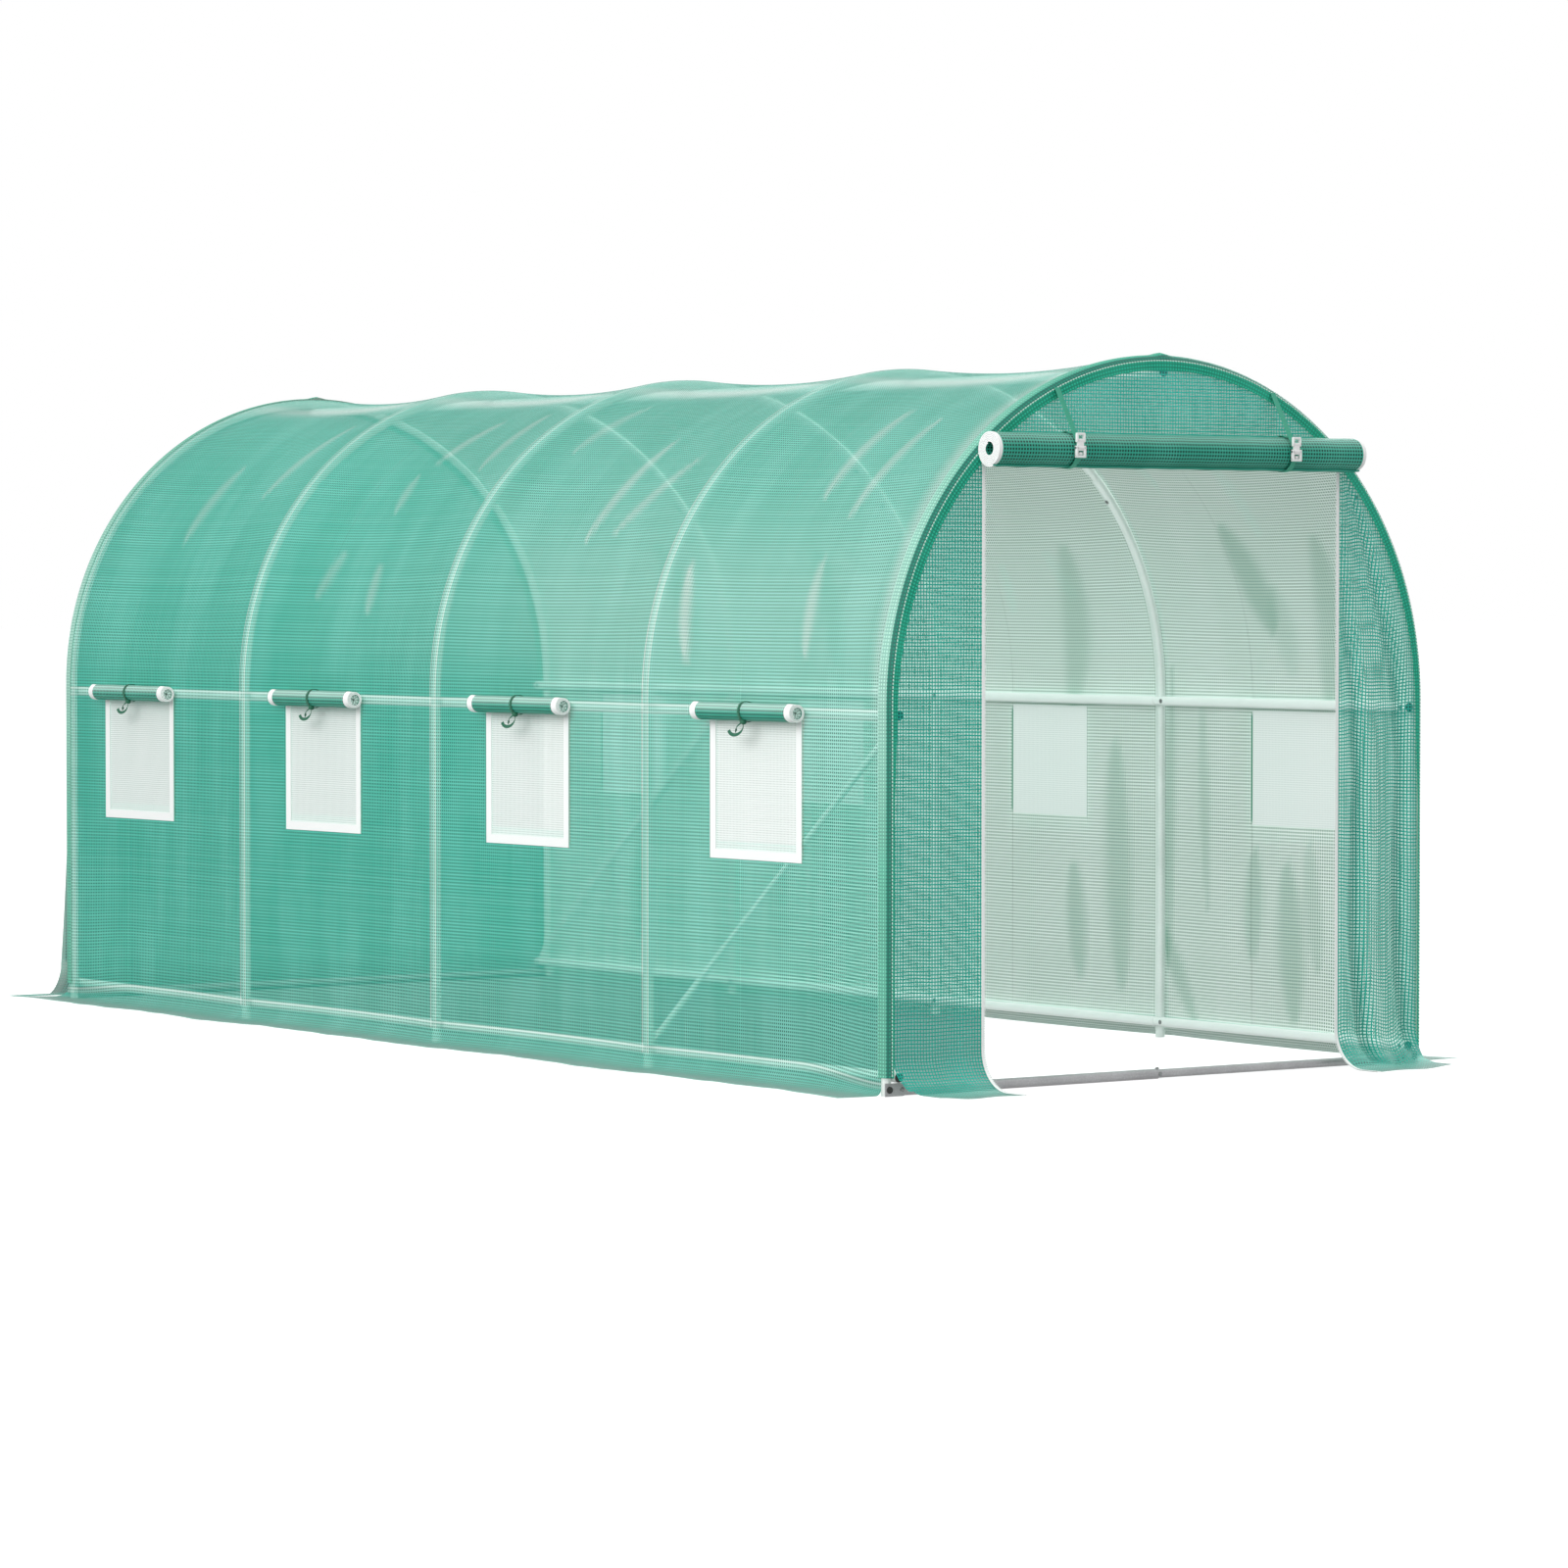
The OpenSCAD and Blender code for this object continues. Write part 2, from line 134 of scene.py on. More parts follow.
haze = place(
    tree,
    "ShaderNodeMapRange",
    {"Value": distance, "From Min": fade_start, "From Max": fade_end},
    interpolation_type="SMOOTHSTEP",
).outputs[0]
dim = place(tree, "ShaderNodeMixShader", {0: haze, 1: near_floor.outputs[0], 2: far_floor.outputs[0]})
unseen = place(
    tree, "ShaderNodeMixShader", {0: seen_through_cloth(tree), 1: bounce.outputs[0], 2: dim.outputs[0]}
)
shadow = place(tree, "ShaderNodeBsdfDiffuse", {"Color": (0.42, 0.42, 0.42, 1)})
glow = place(tree, "ShaderNodeEmission", {"Color": (1, 1, 1, 1), "Strength": floor_glow})
shown = place(tree, "ShaderNodeAddShader", {0: shadow.outputs[0], 1: glow.outputs[0]})
surface = place(
    tree, "ShaderNodeMixShader", {0: seen_directly(tree), 1: unseen.outputs[0], 2: shown.outputs[0]}
)
place(tree, "ShaderNodeOutputMaterial", {"Surface": surface.outputs[0]})
floor_mesh.materials.append(floor_paint)

softbox_l, softbox_w = 8.0, 4.0
for name, spot, power in (
    ("left_softbox", (-8.0, -2.5, 4.2), 370.0),
    ("right_softbox", (8.0, 1.0, 4.6), 420.0),
):
    lamp_data = bpy.data.lights.new(name, "AREA")
    lamp_data.shape = "RECTANGLE"
    lamp_data.size = softbox_l
    lamp_data.size_y = softbox_w
    lamp_data.energy = power
    lamp = bpy.data.objects.new(name, lamp_data)
    lamp.location = spot
    lamp.rotation_euler = (Vector((0, 0, 1.0)) - Vector(spot)).to_track_quat("-Z", "Y").to_euler()
    scene.collection.objects.link(lamp)


# Hoops and rails: galvanised steel tube, each hoop in three lengths and each rail
# in one length a bay, plugged together on thinner spigots. The rails are pale, and the hoops
# are a greyer copy of the same zinc, as painted shade.
def tube_skin_group():
    """Zinc on drawn tube: broad mottling, fine spangle and a faint grain."""
    group = bpy.data.node_groups.new("tube skin", "ShaderNodeTree")
    sockets = group.interface
    sockets.new_socket("Mottle Scale", in_out="INPUT", socket_type="NodeSocketFloat")
    for name in ("Tone", "Roughness", "Height"):
        sockets.new_socket(name, in_out="OUTPUT", socket_type="NodeSocketFloat")
    given = place(group, "NodeGroupInput").outputs
    where = place(group, "ShaderNodeTexCoord").outputs["Object"]
    mottle = place(
        group, "ShaderNodeTexNoise", {"Vector": where, "Scale": given["Mottle Scale"], "Detail": 4.0}
    ).outputs["Fac"]
    spangle = place(group, "ShaderNodeTexVoronoi", {"Vector": where, "Scale": 260.0}).outputs["Distance"]
    grain = place(
        group, "ShaderNodeTexNoise", {"Vector": where, "Scale": 900.0, "Detail": 2.0}
    ).outputs["Fac"]
    broad = figure(group, "MULTIPLY", mottle, 0.75)
    tone = figure(group, "ADD", broad, figure(group, "MULTIPLY", spangle, 0.35))
    rough = figure(group, "MULTIPLY_ADD", tone, 0.25, 0.24)
    height = figure(group, "ADD", grain, figure(group, "MULTIPLY", spangle, 0.5))
    place(group, "NodeGroupOutput", {"Tone": tone, "Roughness": rough, "Height": height})
    return group


def mixed_colour(tree, share, first, second):
    """A colour between two, each a colour or a socket."""
    values = {0: share, 6: first, 7: second}
    return place(tree, "ShaderNodeMix", values, data_type="RGBA").outputs[2]


def mixed_value(tree, share, first, second):
    """A number between two, each a number or a socket."""
    return place(tree, "ShaderNodeMix", {0: share, 2: first, 3: second}, data_type="FLOAT").outputs[0]


def new_finish(name):
    """An empty material: its node tree and its Principled shader, joined to the output."""
    finish = bpy.data.materials.new(name)
    finish.use_nodes = True
    tree = finish.node_tree
    tree.nodes.clear()
    shader = place(tree, "ShaderNodeBsdfPrincipled")
    place(tree, "ShaderNodeOutputMaterial", {"Surface": shader.outputs[0]})
    return finish, tree, shader


def feed(tree, shader, **sources):
    """Sets a shader's inputs, by name with _ for a space, to sockets or values."""
    for name, value in sources.items():
        socket = shader.inputs[name.replace("_", " ")]
        if isinstance(value, bpy.types.NodeSocket):
            tree.links.new(value, socket)
        else:
            socket.default_value = value


def bumped(tree, height, strength, distance):
    """A normal raised by a height."""
    values = {"Height": height, "Strength": strength, "Distance": distance}
    return place(tree, "ShaderNodeBump", values).outputs["Normal"]


tube_skin = tube_skin_group()


def steel_finish(name, dark, light, metallic):
    """Tube or plate steel under zinc, between two tones."""
    finish, tree, shader = new_finish(name)
    skin = place(tree, "ShaderNodeGroup", node_tree=tube_skin)
    skin.inputs["Mottle Scale"].default_value = 9.0
    feed(
        tree,
        shader,
        Base_Color=mixed_colour(tree, skin.outputs["Tone"], dark, light),
        Roughness=skin.outputs["Roughness"],
        Metallic=metallic,
        Normal=bumped(tree, skin.outputs["Height"], 0.12, 0.0004),
    )
    return finish


# The hoops' finish is the rails' pale zinc painted greyer, as painted shade.
pale_tube = steel_finish("pale_tube", (0.84, 0.89, 0.87, 1), (0.98, 0.99, 0.985, 1), 0.12)
shaded_hoop_tube = steel_finish("shaded_hoop_tube", (0.62, 0.69, 0.66, 1), (0.90, 0.94, 0.92, 1), 0.3)
zinc = steel_finish("zinc", (0.20, 0.20, 0.21, 1), (0.52, 0.52, 0.53, 1), 0.4)


def dress(finish, *names):
    """Gives CAD nodes a finish."""
    for name in names:
        nodes[name].data.materials.clear()
        nodes[name].data.materials.append(finish)


hoop_names = [f"hoop_{i}" for i in range(1, 6)]
side_rail_names = ["left_mid_rail", "right_mid_rail", "left_base_rail", "right_base_rail"]
dress(shaded_hoop_tube, *hoop_names)
dress(pale_tube, *side_rail_names, "ridge_rail", "left_front_brace", "right_back_brace")
dress(zinc, "front_sill_rail", "back_sill_rail", "corner_brackets")

hoop_low, hoop_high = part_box("hoop_1")
tube_r = (hoop_high.y - hoop_low.y) / 2
hoop_r = hoop_high.x - tube_r
leg_h = hoop_high.z - tube_r - hoop_r
half_l = -(hoop_low.y + hoop_high.y) / 2
hoop_ys = np.linspace(-half_l, half_l, len(hoop_names))
bay_l = hoop_ys[1] - hoop_ys[0]


# Rail plugs: moulded black plastic caps pushed into the rails' open ends, each with a rim
# round a shallow dish.
def two_tone_finish(name, kind, pattern, tones, roughness, relief, **settings):
    """A finish between two tones and two roughnesses by a pattern, raised by a strength and a depth."""
    finish, tree, shader = new_finish(name)
    where = place(tree, "ShaderNodeTexCoord").outputs["Object"]
    share = place(tree, f"ShaderNodeTex{kind}", {"Vector": where, **pattern}, **settings).outputs["Fac"]
    feed(
        tree,
        shader,
        Base_Color=mixed_colour(tree, share, *tones),
        Roughness=mixed_value(tree, share, *roughness),
        Normal=bumped(tree, share, *relief),
    )
    return finish


plug_finish = two_tone_finish(
    "plug_rubber", "Noise", {"Scale": 350.0, "Detail": 3.0},
    ((0.008, 0.010, 0.010, 1), (0.035, 0.040, 0.038, 1)), (0.38, 0.6), (0.2, 0.0005),
)


def turned(profile, centre, axis, sides=16):
    """A profile of (along, radius) turned about an axis through a point: vertices and faces."""
    axis = Vector(axis).normalized()
    across = axis.orthogonal().normalized()
    third = axis.cross(across)
    verts, faces = [], []
    for along, radius in profile:
        for k in range(sides):
            turn = 2 * math.pi * k / sides
            verts.append(
                Vector(centre) + axis * along + (across * math.cos(turn) + third * math.sin(turn)) * radius
            )
    for row in range(len(profile) - 1):
        for k in range(sides):
            a, b = row * sides + k, row * sides + (k + 1) % sides
            faces.append((a, b, b + sides, a + sides))
    faces.append(tuple(range(sides))[::-1])
    faces.append(tuple(len(verts) - sides + k for k in range(sides)))
    return [tuple(v) for v in verts], faces


def joined(parts):
    """Several lists of vertices and faces as one."""
    verts, faces = [], []
    for part_verts, part_faces in parts:
        start = len(verts)
        verts += list(part_verts)
        faces += [tuple(start + k for k in face) for face in part_faces]
    return verts, faces


def fixed_piece(name, mesh):
    """A mesh put into the scene as a piece that stays with the frame."""
    piece = bpy.data.objects.new(name, mesh)
    scene.collection.objects.link(piece)
    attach(piece, "root")
    return piece


def solid_piece(name, parts, finish, sharp=35.0):
    """One piece made of several closed meshes, smooth but for edges sharper than an angle."""
    verts, faces = joined(parts)
    mesh = bpy.data.meshes.new(name)
    mesh.from_pydata(verts, [], faces)
    mesh.shade_smooth()
    mesh.set_sharp_from_angle(angle=math.radians(sharp))
    mesh.materials.append(finish)
    return fixed_piece(name, mesh)


plug_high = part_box("rail_plugs")[1]
plug_r = tube_r * 0.93
rail_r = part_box("right_mid_rail")[1].x - tube_r
mid_rail_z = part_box("left_mid_rail")[0].z + tube_r
base_rail_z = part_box("left_base_rail")[0].z + tube_r
ridge_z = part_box("ridge_rail")[0].z + tube_r
rail_places = [
    (0.0, ridge_z), (-rail_r, mid_rail_z), (rail_r, mid_rail_z),
    (-rail_r, base_rail_z), (rail_r, base_rail_z),
]
rail_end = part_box("ridge_rail")[1].y
plug_t = plug_high.y - rail_end
plug_profile = [
    (0.0, plug_r), (plug_t * 0.6, plug_r), (plug_t, plug_r * 0.9), (plug_t, plug_r * 0.68),
    (plug_t * 0.45, plug_r * 0.6), (plug_t * 0.45, plug_r * 0.12),
]
plugs = solid_piece(
    "rail_end_plugs",
    [
        turned(plug_profile, (x, end * rail_end, z), (0, end, 0), 20)
        for x, z in rail_places
        for end in (-1, 1)
    ],
    plug_finish,
)
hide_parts("rail_plugs")


# Bolts: zinc-plated steel dome heads, each on its washer, through the hoops' shoulder joints,
# where the rails meet the hoops, through the middles of the sills and through the corner plates.
bolt_finish = steel_finish("bolt_zinc", (0.10, 0.11, 0.11, 1), (0.36, 0.37, 0.37, 1), 0.7)
bolt_r = 0.0048
dome = [
    (0.0, bolt_r * 1.4), (bolt_r * 0.22, bolt_r * 1.4), (bolt_r * 0.24, bolt_r),
    (bolt_r * 0.65, bolt_r * 0.86), (bolt_r * 0.9, bolt_r * 0.5), (bolt_r * 0.96, bolt_r * 0.12),
]
bolts = []
bolt_sides = 10
joint_turn = math.radians(45.0)
joint_step = math.radians(2.6)
for y in hoop_ys:
    for side in (-1, 1):
        for step in (-2.6, 1.0):
            turn = joint_turn + step * joint_step
            out = Vector((side * math.cos(turn), 0, math.sin(turn)))
            spot = Vector((0, y, leg_h)) + out * (hoop_r - tube_r)
            bolts.append(turned(dome, spot, -out, bolt_sides))
spigot_step = 0.050
for y in [-half_l, *(hoop_ys[1:-1] - spigot_step), half_l]:
    for x, z in rail_places:
        inward = Vector((-x, 0, 0)).normalized() if x else Vector((0, 0, -1))
        bolts.append(turned(dome, Vector((x, y, z)) + inward * tube_r, inward, bolt_sides))
sill_z = tube_r
for end in (-1, 1):
    bolts.append(turned(dome, (0.0, end * half_l, sill_z + tube_r), (0, 0, 1), bolt_sides))
    bolts.append(turned(dome, (0.0, end * (half_l + tube_r), sill_z), (0, end, 0), bolt_sides))
plate_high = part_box("corner_brackets")[1]
plate_mid_z = plate_high.z / 2
bracket_reach = 0.046
plate_bolt_x = hoop_r - tube_r - bracket_reach + plate_mid_z
for end in (-1, 1):
    for side in (-1, 1):
        spot = (side * plate_bolt_x, end * plate_high.y, plate_mid_z)
        bolts.append(turned(dome, spot, (0, end, 0), 12))
solid_piece("frame_bolts", bolts, bolt_finish)


# Foot caps: small black plastic caps, dished like the rail plugs, pressed on to the corner
# plates in line with the end hoops' legs.
cap_r = 0.0095
cap_profile = [
    (0.0, cap_r), (cap_r * 0.25, cap_r), (cap_r * 0.34, cap_r * 0.9), (cap_r * 0.34, cap_r * 0.7),
    (cap_r * 0.18, cap_r * 0.6), (cap_r * 0.18, cap_r * 0.1),
]
caps = [
    turned(cap_profile, (side * hoop_r, end * plate_high.y, plate_mid_z), (0, end, 0), 20)
    for side in (-1, 1)
    for end in (-1, 1)
]
solid_piece("foot_caps", caps, plug_finish)


# Cover: one wide woven sheet over the hoops, drawn in between them, with eight window
# openings cut in its walls and its lower edges turned out along the ground. Its pale streaks
# and lines are painted highlights, and its dark folds and strips are painted shade.
def open_weave_group():
    """A net of flat tapes seen along the cloth in metres: its holes, its relief and its tapes' tones."""
    group = bpy.data.node_groups.new("open weave", "ShaderNodeTree")
    sockets = group.interface
    sockets.new_socket("Cloth", in_out="INPUT", socket_type="NodeSocketVector")
    sockets.new_socket("Pitch", in_out="INPUT", socket_type="NodeSocketFloat")
    sockets.new_socket("Hole Share", in_out="INPUT", socket_type="NodeSocketFloat")
    for name in ("Hole", "Height", "Tone"):
        sockets.new_socket(name, in_out="OUTPUT", socket_type="NodeSocketFloat")
    given = place(group, "NodeGroupInput").outputs
    count = figure(group, "DIVIDE", 1.0, given["Pitch"])
    cells = place(
        group, "ShaderNodeVectorMath", {"Vector": given["Cloth"], "Scale": count}, operation="SCALE"
    ).outputs[0]
    split = place(group, "ShaderNodeSeparateXYZ", {0: cells}).outputs
    edge = figure(group, "MULTIPLY_ADD", given["Hole Share"], -0.5, 0.5)
    softness = 0.05
    gaps = []
    tones = []
    for axis in ("X", "Y"):
        from_tape = figure(group, "PINGPONG", split[axis], 0.5)
        gaps.append(
            place(
                group,
                "ShaderNodeMapRange",
                {
                    "Value": from_tape,
                    "From Min": figure(group, "SUBTRACT", edge, softness),
                    "From Max": figure(group, "ADD", edge, softness),
                },
                interpolation_type="SMOOTHSTEP",
            ).outputs[0]
        )
        number = figure(group, "ROUND", split[axis])
        tones.append(
            place(group, "ShaderNodeTexWhiteNoise", {"W": number}, noise_dimensions="1D").outputs["Value"]
        )
    hole = figure(group, "MULTIPLY", gaps[0], gaps[1])
    crossing = figure(group, "ADD", gaps[0], gaps[1])
    height = figure(group, "SUBTRACT", 1.0, figure(group, "MULTIPLY", crossing, 0.5))
    tone = figure(group, "MULTIPLY_ADD", tones[0], 0.35, figure(group, "MULTIPLY", tones[1], 0.65))
    place(group, "NodeGroupOutput", {"Hole": hole, "Height": height, "Tone": tone})
    return group


def cloudy_group():
    """Soft patches at random, long along one way of the cloth, where a sheet is painted paler as the sheen
    of slack cloth.
    """
    group = bpy.data.node_groups.new("slack patches", "ShaderNodeTree")
    sockets = group.interface
    sockets.new_socket("Cloth", in_out="INPUT", socket_type="NodeSocketVector")
    sockets.new_socket("Size", in_out="INPUT", socket_type="NodeSocketFloat")
    sockets.new_socket("Patch", in_out="OUTPUT", socket_type="NodeSocketFloat")
    given = place(group, "NodeGroupInput").outputs
    turned_cloth = place(
        group,
        "ShaderNodeMapping",
        {"Vector": given["Cloth"], "Rotation": (0, 0, 0.5), "Scale": (2.6, 0.8, 1.0)},
    ).outputs[0]
    count = figure(group, "DIVIDE", 1.0, given["Size"])
    patch = place(
        group, "ShaderNodeTexNoise", {"Vector": turned_cloth, "Scale": count, "Detail": 3.0}
    ).outputs["Fac"]
    smooth = place(
        group,
        "ShaderNodeMapRange",
        {"Value": patch, "From Min": 0.38, "From Max": 0.72},
        interpolation_type="SMOOTHSTEP",
    ).outputs[0]
    place(group, "NodeGroupOutput", {"Patch": smooth})
    return group


open_weave = open_weave_group()
sheen_patches = cloudy_group()
weave_pitch = 0.0097
hole_share = 0.54
# The colour of painted highlights and sheen, which tapes and holes are mixed towards.
sheen = (0.74, 0.95, 0.88, 1)
# The grey that cloth is mixed towards where it lies out on the ground.
ground_grey_colour = (0.27, 0.39, 0.36, 1)


def cloth_finish(
    name, outside, inside, light_share, fold_shade_colour, fold_shares=(0.45, 0.8), holes=hole_share, gleams=(1.0, 0.15),
    gloss=0.14, pitch=weave_pitch,
):
    """Woven sheet: a side is (tape, pale tape, hole, tape cover, hole cover), a share of the lamps' light
    goes through, painted fold shade has a colour and shares outside and inside, and a painted sheen
    gleams on tapes and holes by two shares."""
    finish, tree, shader = new_finish(name)
    cloth = place(tree, "ShaderNodeUVMap", uv_map="cloth").outputs[0]
    weave = place(tree, "ShaderNodeGroup", node_tree=open_weave)
    patches = place(tree, "ShaderNodeGroup", node_tree=sheen_patches)
    for group in (weave, patches):
        tree.links.new(cloth, group.inputs["Cloth"])
    feed(tree, weave, Pitch=pitch, Hole_Share=holes)
    feed(tree, patches, Size=0.55)
    hole_mask = weave.outputs["Hole"]
    painted_sheen, doubled, painted_shade, ground_grey = [
        place(tree, "ShaderNodeAttribute", attribute_name=mark).outputs["Fac"]
        for mark in ("painted_sheen", "doubled", "painted_shade", "ground_grey")
    ]
    back = place(tree, "ShaderNodeNewGeometry").outputs["Backfacing"]
    tone = figure(tree, "MULTIPLY", weave.outputs["Tone"], 0.3)
    # Tapes are paler by a random tone per thread and by the painted sheen patches.
    pale = figure(tree, "MULTIPLY_ADD", patches.outputs["Patch"], 0.5, tone)
    # The painted sheen mark lightens tapes and holes towards the sheen colour: a painted highlight.
    tape_gleam, hole_gleam = [figure(tree, "MULTIPLY", painted_sheen, share) for share in gleams]
    colours, covers = [], []
    for (tape, pale_tape, hole, tape_cover, hole_cover), fold_share in zip((outside, inside), fold_shares):
        # The painted shade mark darkens tapes and holes towards the fold shade colour, as painted shade in
        # folds, and closes the holes a little.
        shaded = figure(tree, "MULTIPLY", painted_shade, fold_share)
        tape_colour = mixed_colour(tree, tape_gleam, mixed_colour(tree, pale, tape, pale_tape), sheen)
        tape_colour = mixed_colour(tree, shaded, tape_colour, fold_shade_colour)
        hole_colour = mixed_colour(tree, hole_gleam, hole, sheen)
        hole_colour = mixed_colour(tree, figure(tree, "MULTIPLY", shaded, 0.7), hole_colour, fold_shade_colour)
        colours.append(mixed_colour(tree, hole_mask, tape_colour, hole_colour))
        closed = mixed_value(tree, shaded, hole_cover, max(hole_cover, 0.6))
        covers.append(mixed_value(tree, hole_mask, tape_cover, closed))
    # Backfacing picks the inside colours, painted paler than the outside as light that comes through the
    # sheet.
    side_colour = mixed_colour(tree, back, colours[0], colours[1])
    # Cloth lying out on the ground is mixed towards that grey.
    feed(
        tree,
        shader,
        Base_Color=mixed_colour(tree, figure(tree, "MULTIPLY", ground_grey, 0.85), side_colour, ground_grey_colour),
        Alpha=figure(tree, "MAXIMUM", mixed_value(tree, back, covers[0], covers[1]), doubled),
        Roughness=mixed_value(tree, hole_mask, 0.40, 0.6),
        Specular_IOR_Level=gloss,
        Normal=bumped(tree, weave.outputs["Height"], 0.25, 0.0008),
    )
    path = place(tree, "ShaderNodeLightPath").outputs
    lamp_ray = figure(tree, "MAXIMUM", path["Is Shadow Ray"], path["Is Diffuse Ray"])
    through = place(tree, "ShaderNodeBsdfTransparent", {"Color": (0.86, 1.0, 0.95, 1)})
    lets_light = place(
        tree,
        "ShaderNodeMixShader",
        {0: figure(tree, "MULTIPLY", lamp_ray, light_share), 1: shader.outputs[0], 2: through.outputs[0]},
    )
    output = next(n for n in tree.nodes if n.type == "OUTPUT_MATERIAL")
    tree.links.new(lets_light.outputs[0], output.inputs["Surface"])
    return finish


# The colour that painted shade in the cover's folds mixes towards.
fold_shade_green = (0.09, 0.33, 0.22, 1)
# Outside: the holes are nearly closed by a dark film, painted as the shade of the tunnel's inside seen
# through them.
outside_cloth = ((0.04, 0.66, 0.49, 1), (0.19, 0.86, 0.70, 1), (0.002, 0.10, 0.07, 1), 0.50, 0.92)
# Inside: pale colours painted as the light that comes through the sheet from outside.
inside_cloth = ((0.80, 0.88, 0.83, 1), (0.93, 0.96, 0.94, 1), (0.17, 0.28, 0.22, 1), 0.92, 0.92)
cover_cloth = cloth_finish("cover_cloth", outside_cloth, inside_cloth, 0.85, fold_shade_green)


def grid_faces(rows, cols, outward, open_cells=None):
    """Quads of a grid of points, turned over if outward is false, without the open cells."""
    index = np.arange(rows * cols).reshape(rows, cols)
    a, b = index[:-1, :-1], index[1:, :-1]
    c, d = index[1:, 1:], index[:-1, 1:]
    quads = np.stack([a, b, c, d] if outward else [a, d, c, b], -1)
    if open_cells is None:
        return quads.reshape(-1, 4)
    return quads[~open_cells]


def sheet_piece(name, points, cloth, finish, outward=True, open_cells=None, marks=None):
    """A cloth sheet from a grid of points, with its place in the cloth in metres kept as its UV map."""
    rows, cols = points.shape[:2]
    faces = grid_faces(rows, cols, outward, open_cells)
    used, compact = np.unique(faces, return_inverse=True)
    faces = compact.reshape(faces.shape)
    mesh = bpy.data.meshes.new(name)
    mesh.from_pydata(points.reshape(-1, 3)[used].tolist(), [], faces.tolist())
    layer = mesh.uv_layers.new(name="cloth")
    flat = cloth.reshape(-1, 2)[used]
    layer.data.foreach_set("uv", flat[faces.ravel()].astype(np.float32).ravel())
    for mark, values in (marks or {}).items():
        attribute = mesh.attributes.new(mark, "FLOAT", "POINT")
        attribute.data.foreach_set("value", values.reshape(-1)[used].astype(np.float32))
    mesh.shade_smooth()
    mesh.materials.append(finish)
    return fixed_piece(name, mesh)


def lines(stops, step):
    """Places from stop to stop, evenly filled so that none is further than a step from the next."""
    stops = sorted(stops)
    filled = [stops[0]]
    for start, stop in zip(stops[:-1], stops[1:]):
        count = max(1, math.ceil((stop - start) / step - 1e-6))
        filled += [start + (stop - start) * k / count for k in range(1, count + 1)]
    return np.array(filled)


cover_t = 0.003
cover_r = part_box("roof_bay_1")[1].z - leg_h
sheet_r = cover_r - cover_t / 2
sag_depth = 2 * tube_r
sag_r = ((bay_l / 2) ** 2 + sag_depth**2) / (2 * sag_depth)
ground_z = cover_t / 2
flap_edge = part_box("right_ground_flap")[1].x
bend_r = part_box("left_wall")[0].z - ground_z
border_low, border_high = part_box("window_borders")
border_w = 0.026
window_w = 0.430
window_bottom = border_low.z + border_w
window_top = border_high.z - border_w
window_half = window_w / 2 - border_w
window_spread = 0.026
window_step = bay_l + window_spread
window_shift = {-1: 0.085, 1: -0.020}
window_ys = {side: [(k - 1.5) * window_step + window_shift[side] for k in range(4)] for side in (-1, 1)}
cut_inset, cut_rise = 0.0065, 0.024
cut_half = window_half - cut_inset
cut_bottom = window_bottom + cut_rise


def sag(y):
    """Distance by which the cover is drawn in from the hoops' line, along the tunnel."""
    along = (np.asarray(y) + half_l) % bay_l - bay_l / 2
    return sag_depth - (sag_r - np.sqrt(sag_r**2 - along**2))


flap_shares = np.linspace(0, 1, 9)
bend_turns = np.linspace(-math.pi / 2, -math.pi, 9)[1:]
# Across each rail the cover is painted paler in thin lines along its crest, as painted highlights: offsets
# and strengths.
rail_steps, rail_gleams = (-0.017, -0.011, -0.005, 0.005, 0.011, 0.017), (0, 0.55, 0.30, 0.30, 0.80, 0)
rail_rows = [z + step for z in (base_rail_z, mid_rail_z) for step in rail_steps]
row_step, column_step = 0.026, 0.019
wall_zs = lines([bend_r + ground_z, cut_bottom, window_top, leg_h] + rail_rows, row_step)
wall_zs = wall_zs[wall_zs > bend_r + ground_z + 1e-6]
roof_turns = np.linspace(0, math.pi, 129)[1:-1]
cut_edges = [y + way * cut_half for side in (-1, 1) for y in window_ys[side] for way in (-1, 1)]
# Across each hoop, likewise thin painted highlights along the crest: offsets and strengths.
hoop_steps, hoop_gleams = (-0.022, -0.018, -0.013, 0.005, 0.009, 0.013), (0, 0.50, 0.22, 0.22, 0.85, 0)
crest_ys = np.append(hoop_ys[1:-1], half_l - hoop_steps[-1] - 0.001)
crests = [y + step for y in crest_ys for step in hoop_steps]
# Beside each window border a narrow strip of the cover is painted dark, as painted shadow: its width, its
# offset and its heights.
shadow_strip_w = 0.006
shadow_strip_from = {-1: window_w / 2, 1: cut_half}
shadow_strip_zs = {-1: (border_low.z + 0.01, border_high.z), 1: (cut_bottom, window_top)}
shadow_strip_ys = {side: [y + side * shadow_strip_from[side] for y in window_ys[side]] for side in (-1, 1)}
shadow_strip_edges = [
    y + side * way for side in (-1, 1) for y in shadow_strip_ys[side] for way in (-0.001, 0, shadow_strip_w, shadow_strip_w + 0.001)
]
cover_ys = lines(list(hoop_ys) + crests + cut_edges + shadow_strip_edges, column_step)

end_ease = 0.4
from_end = np.clip((half_l - np.abs(cover_ys)) / end_ease, 0, 1)
bend = bend_r * (0.4 + 0.6 * from_end**2 * (3 - 2 * from_end))
corner_tip, corner_tip_l = 0.034, 0.12
back_tip, back_tip_l, back_tip_h = 0.12, 0.25, 0.12


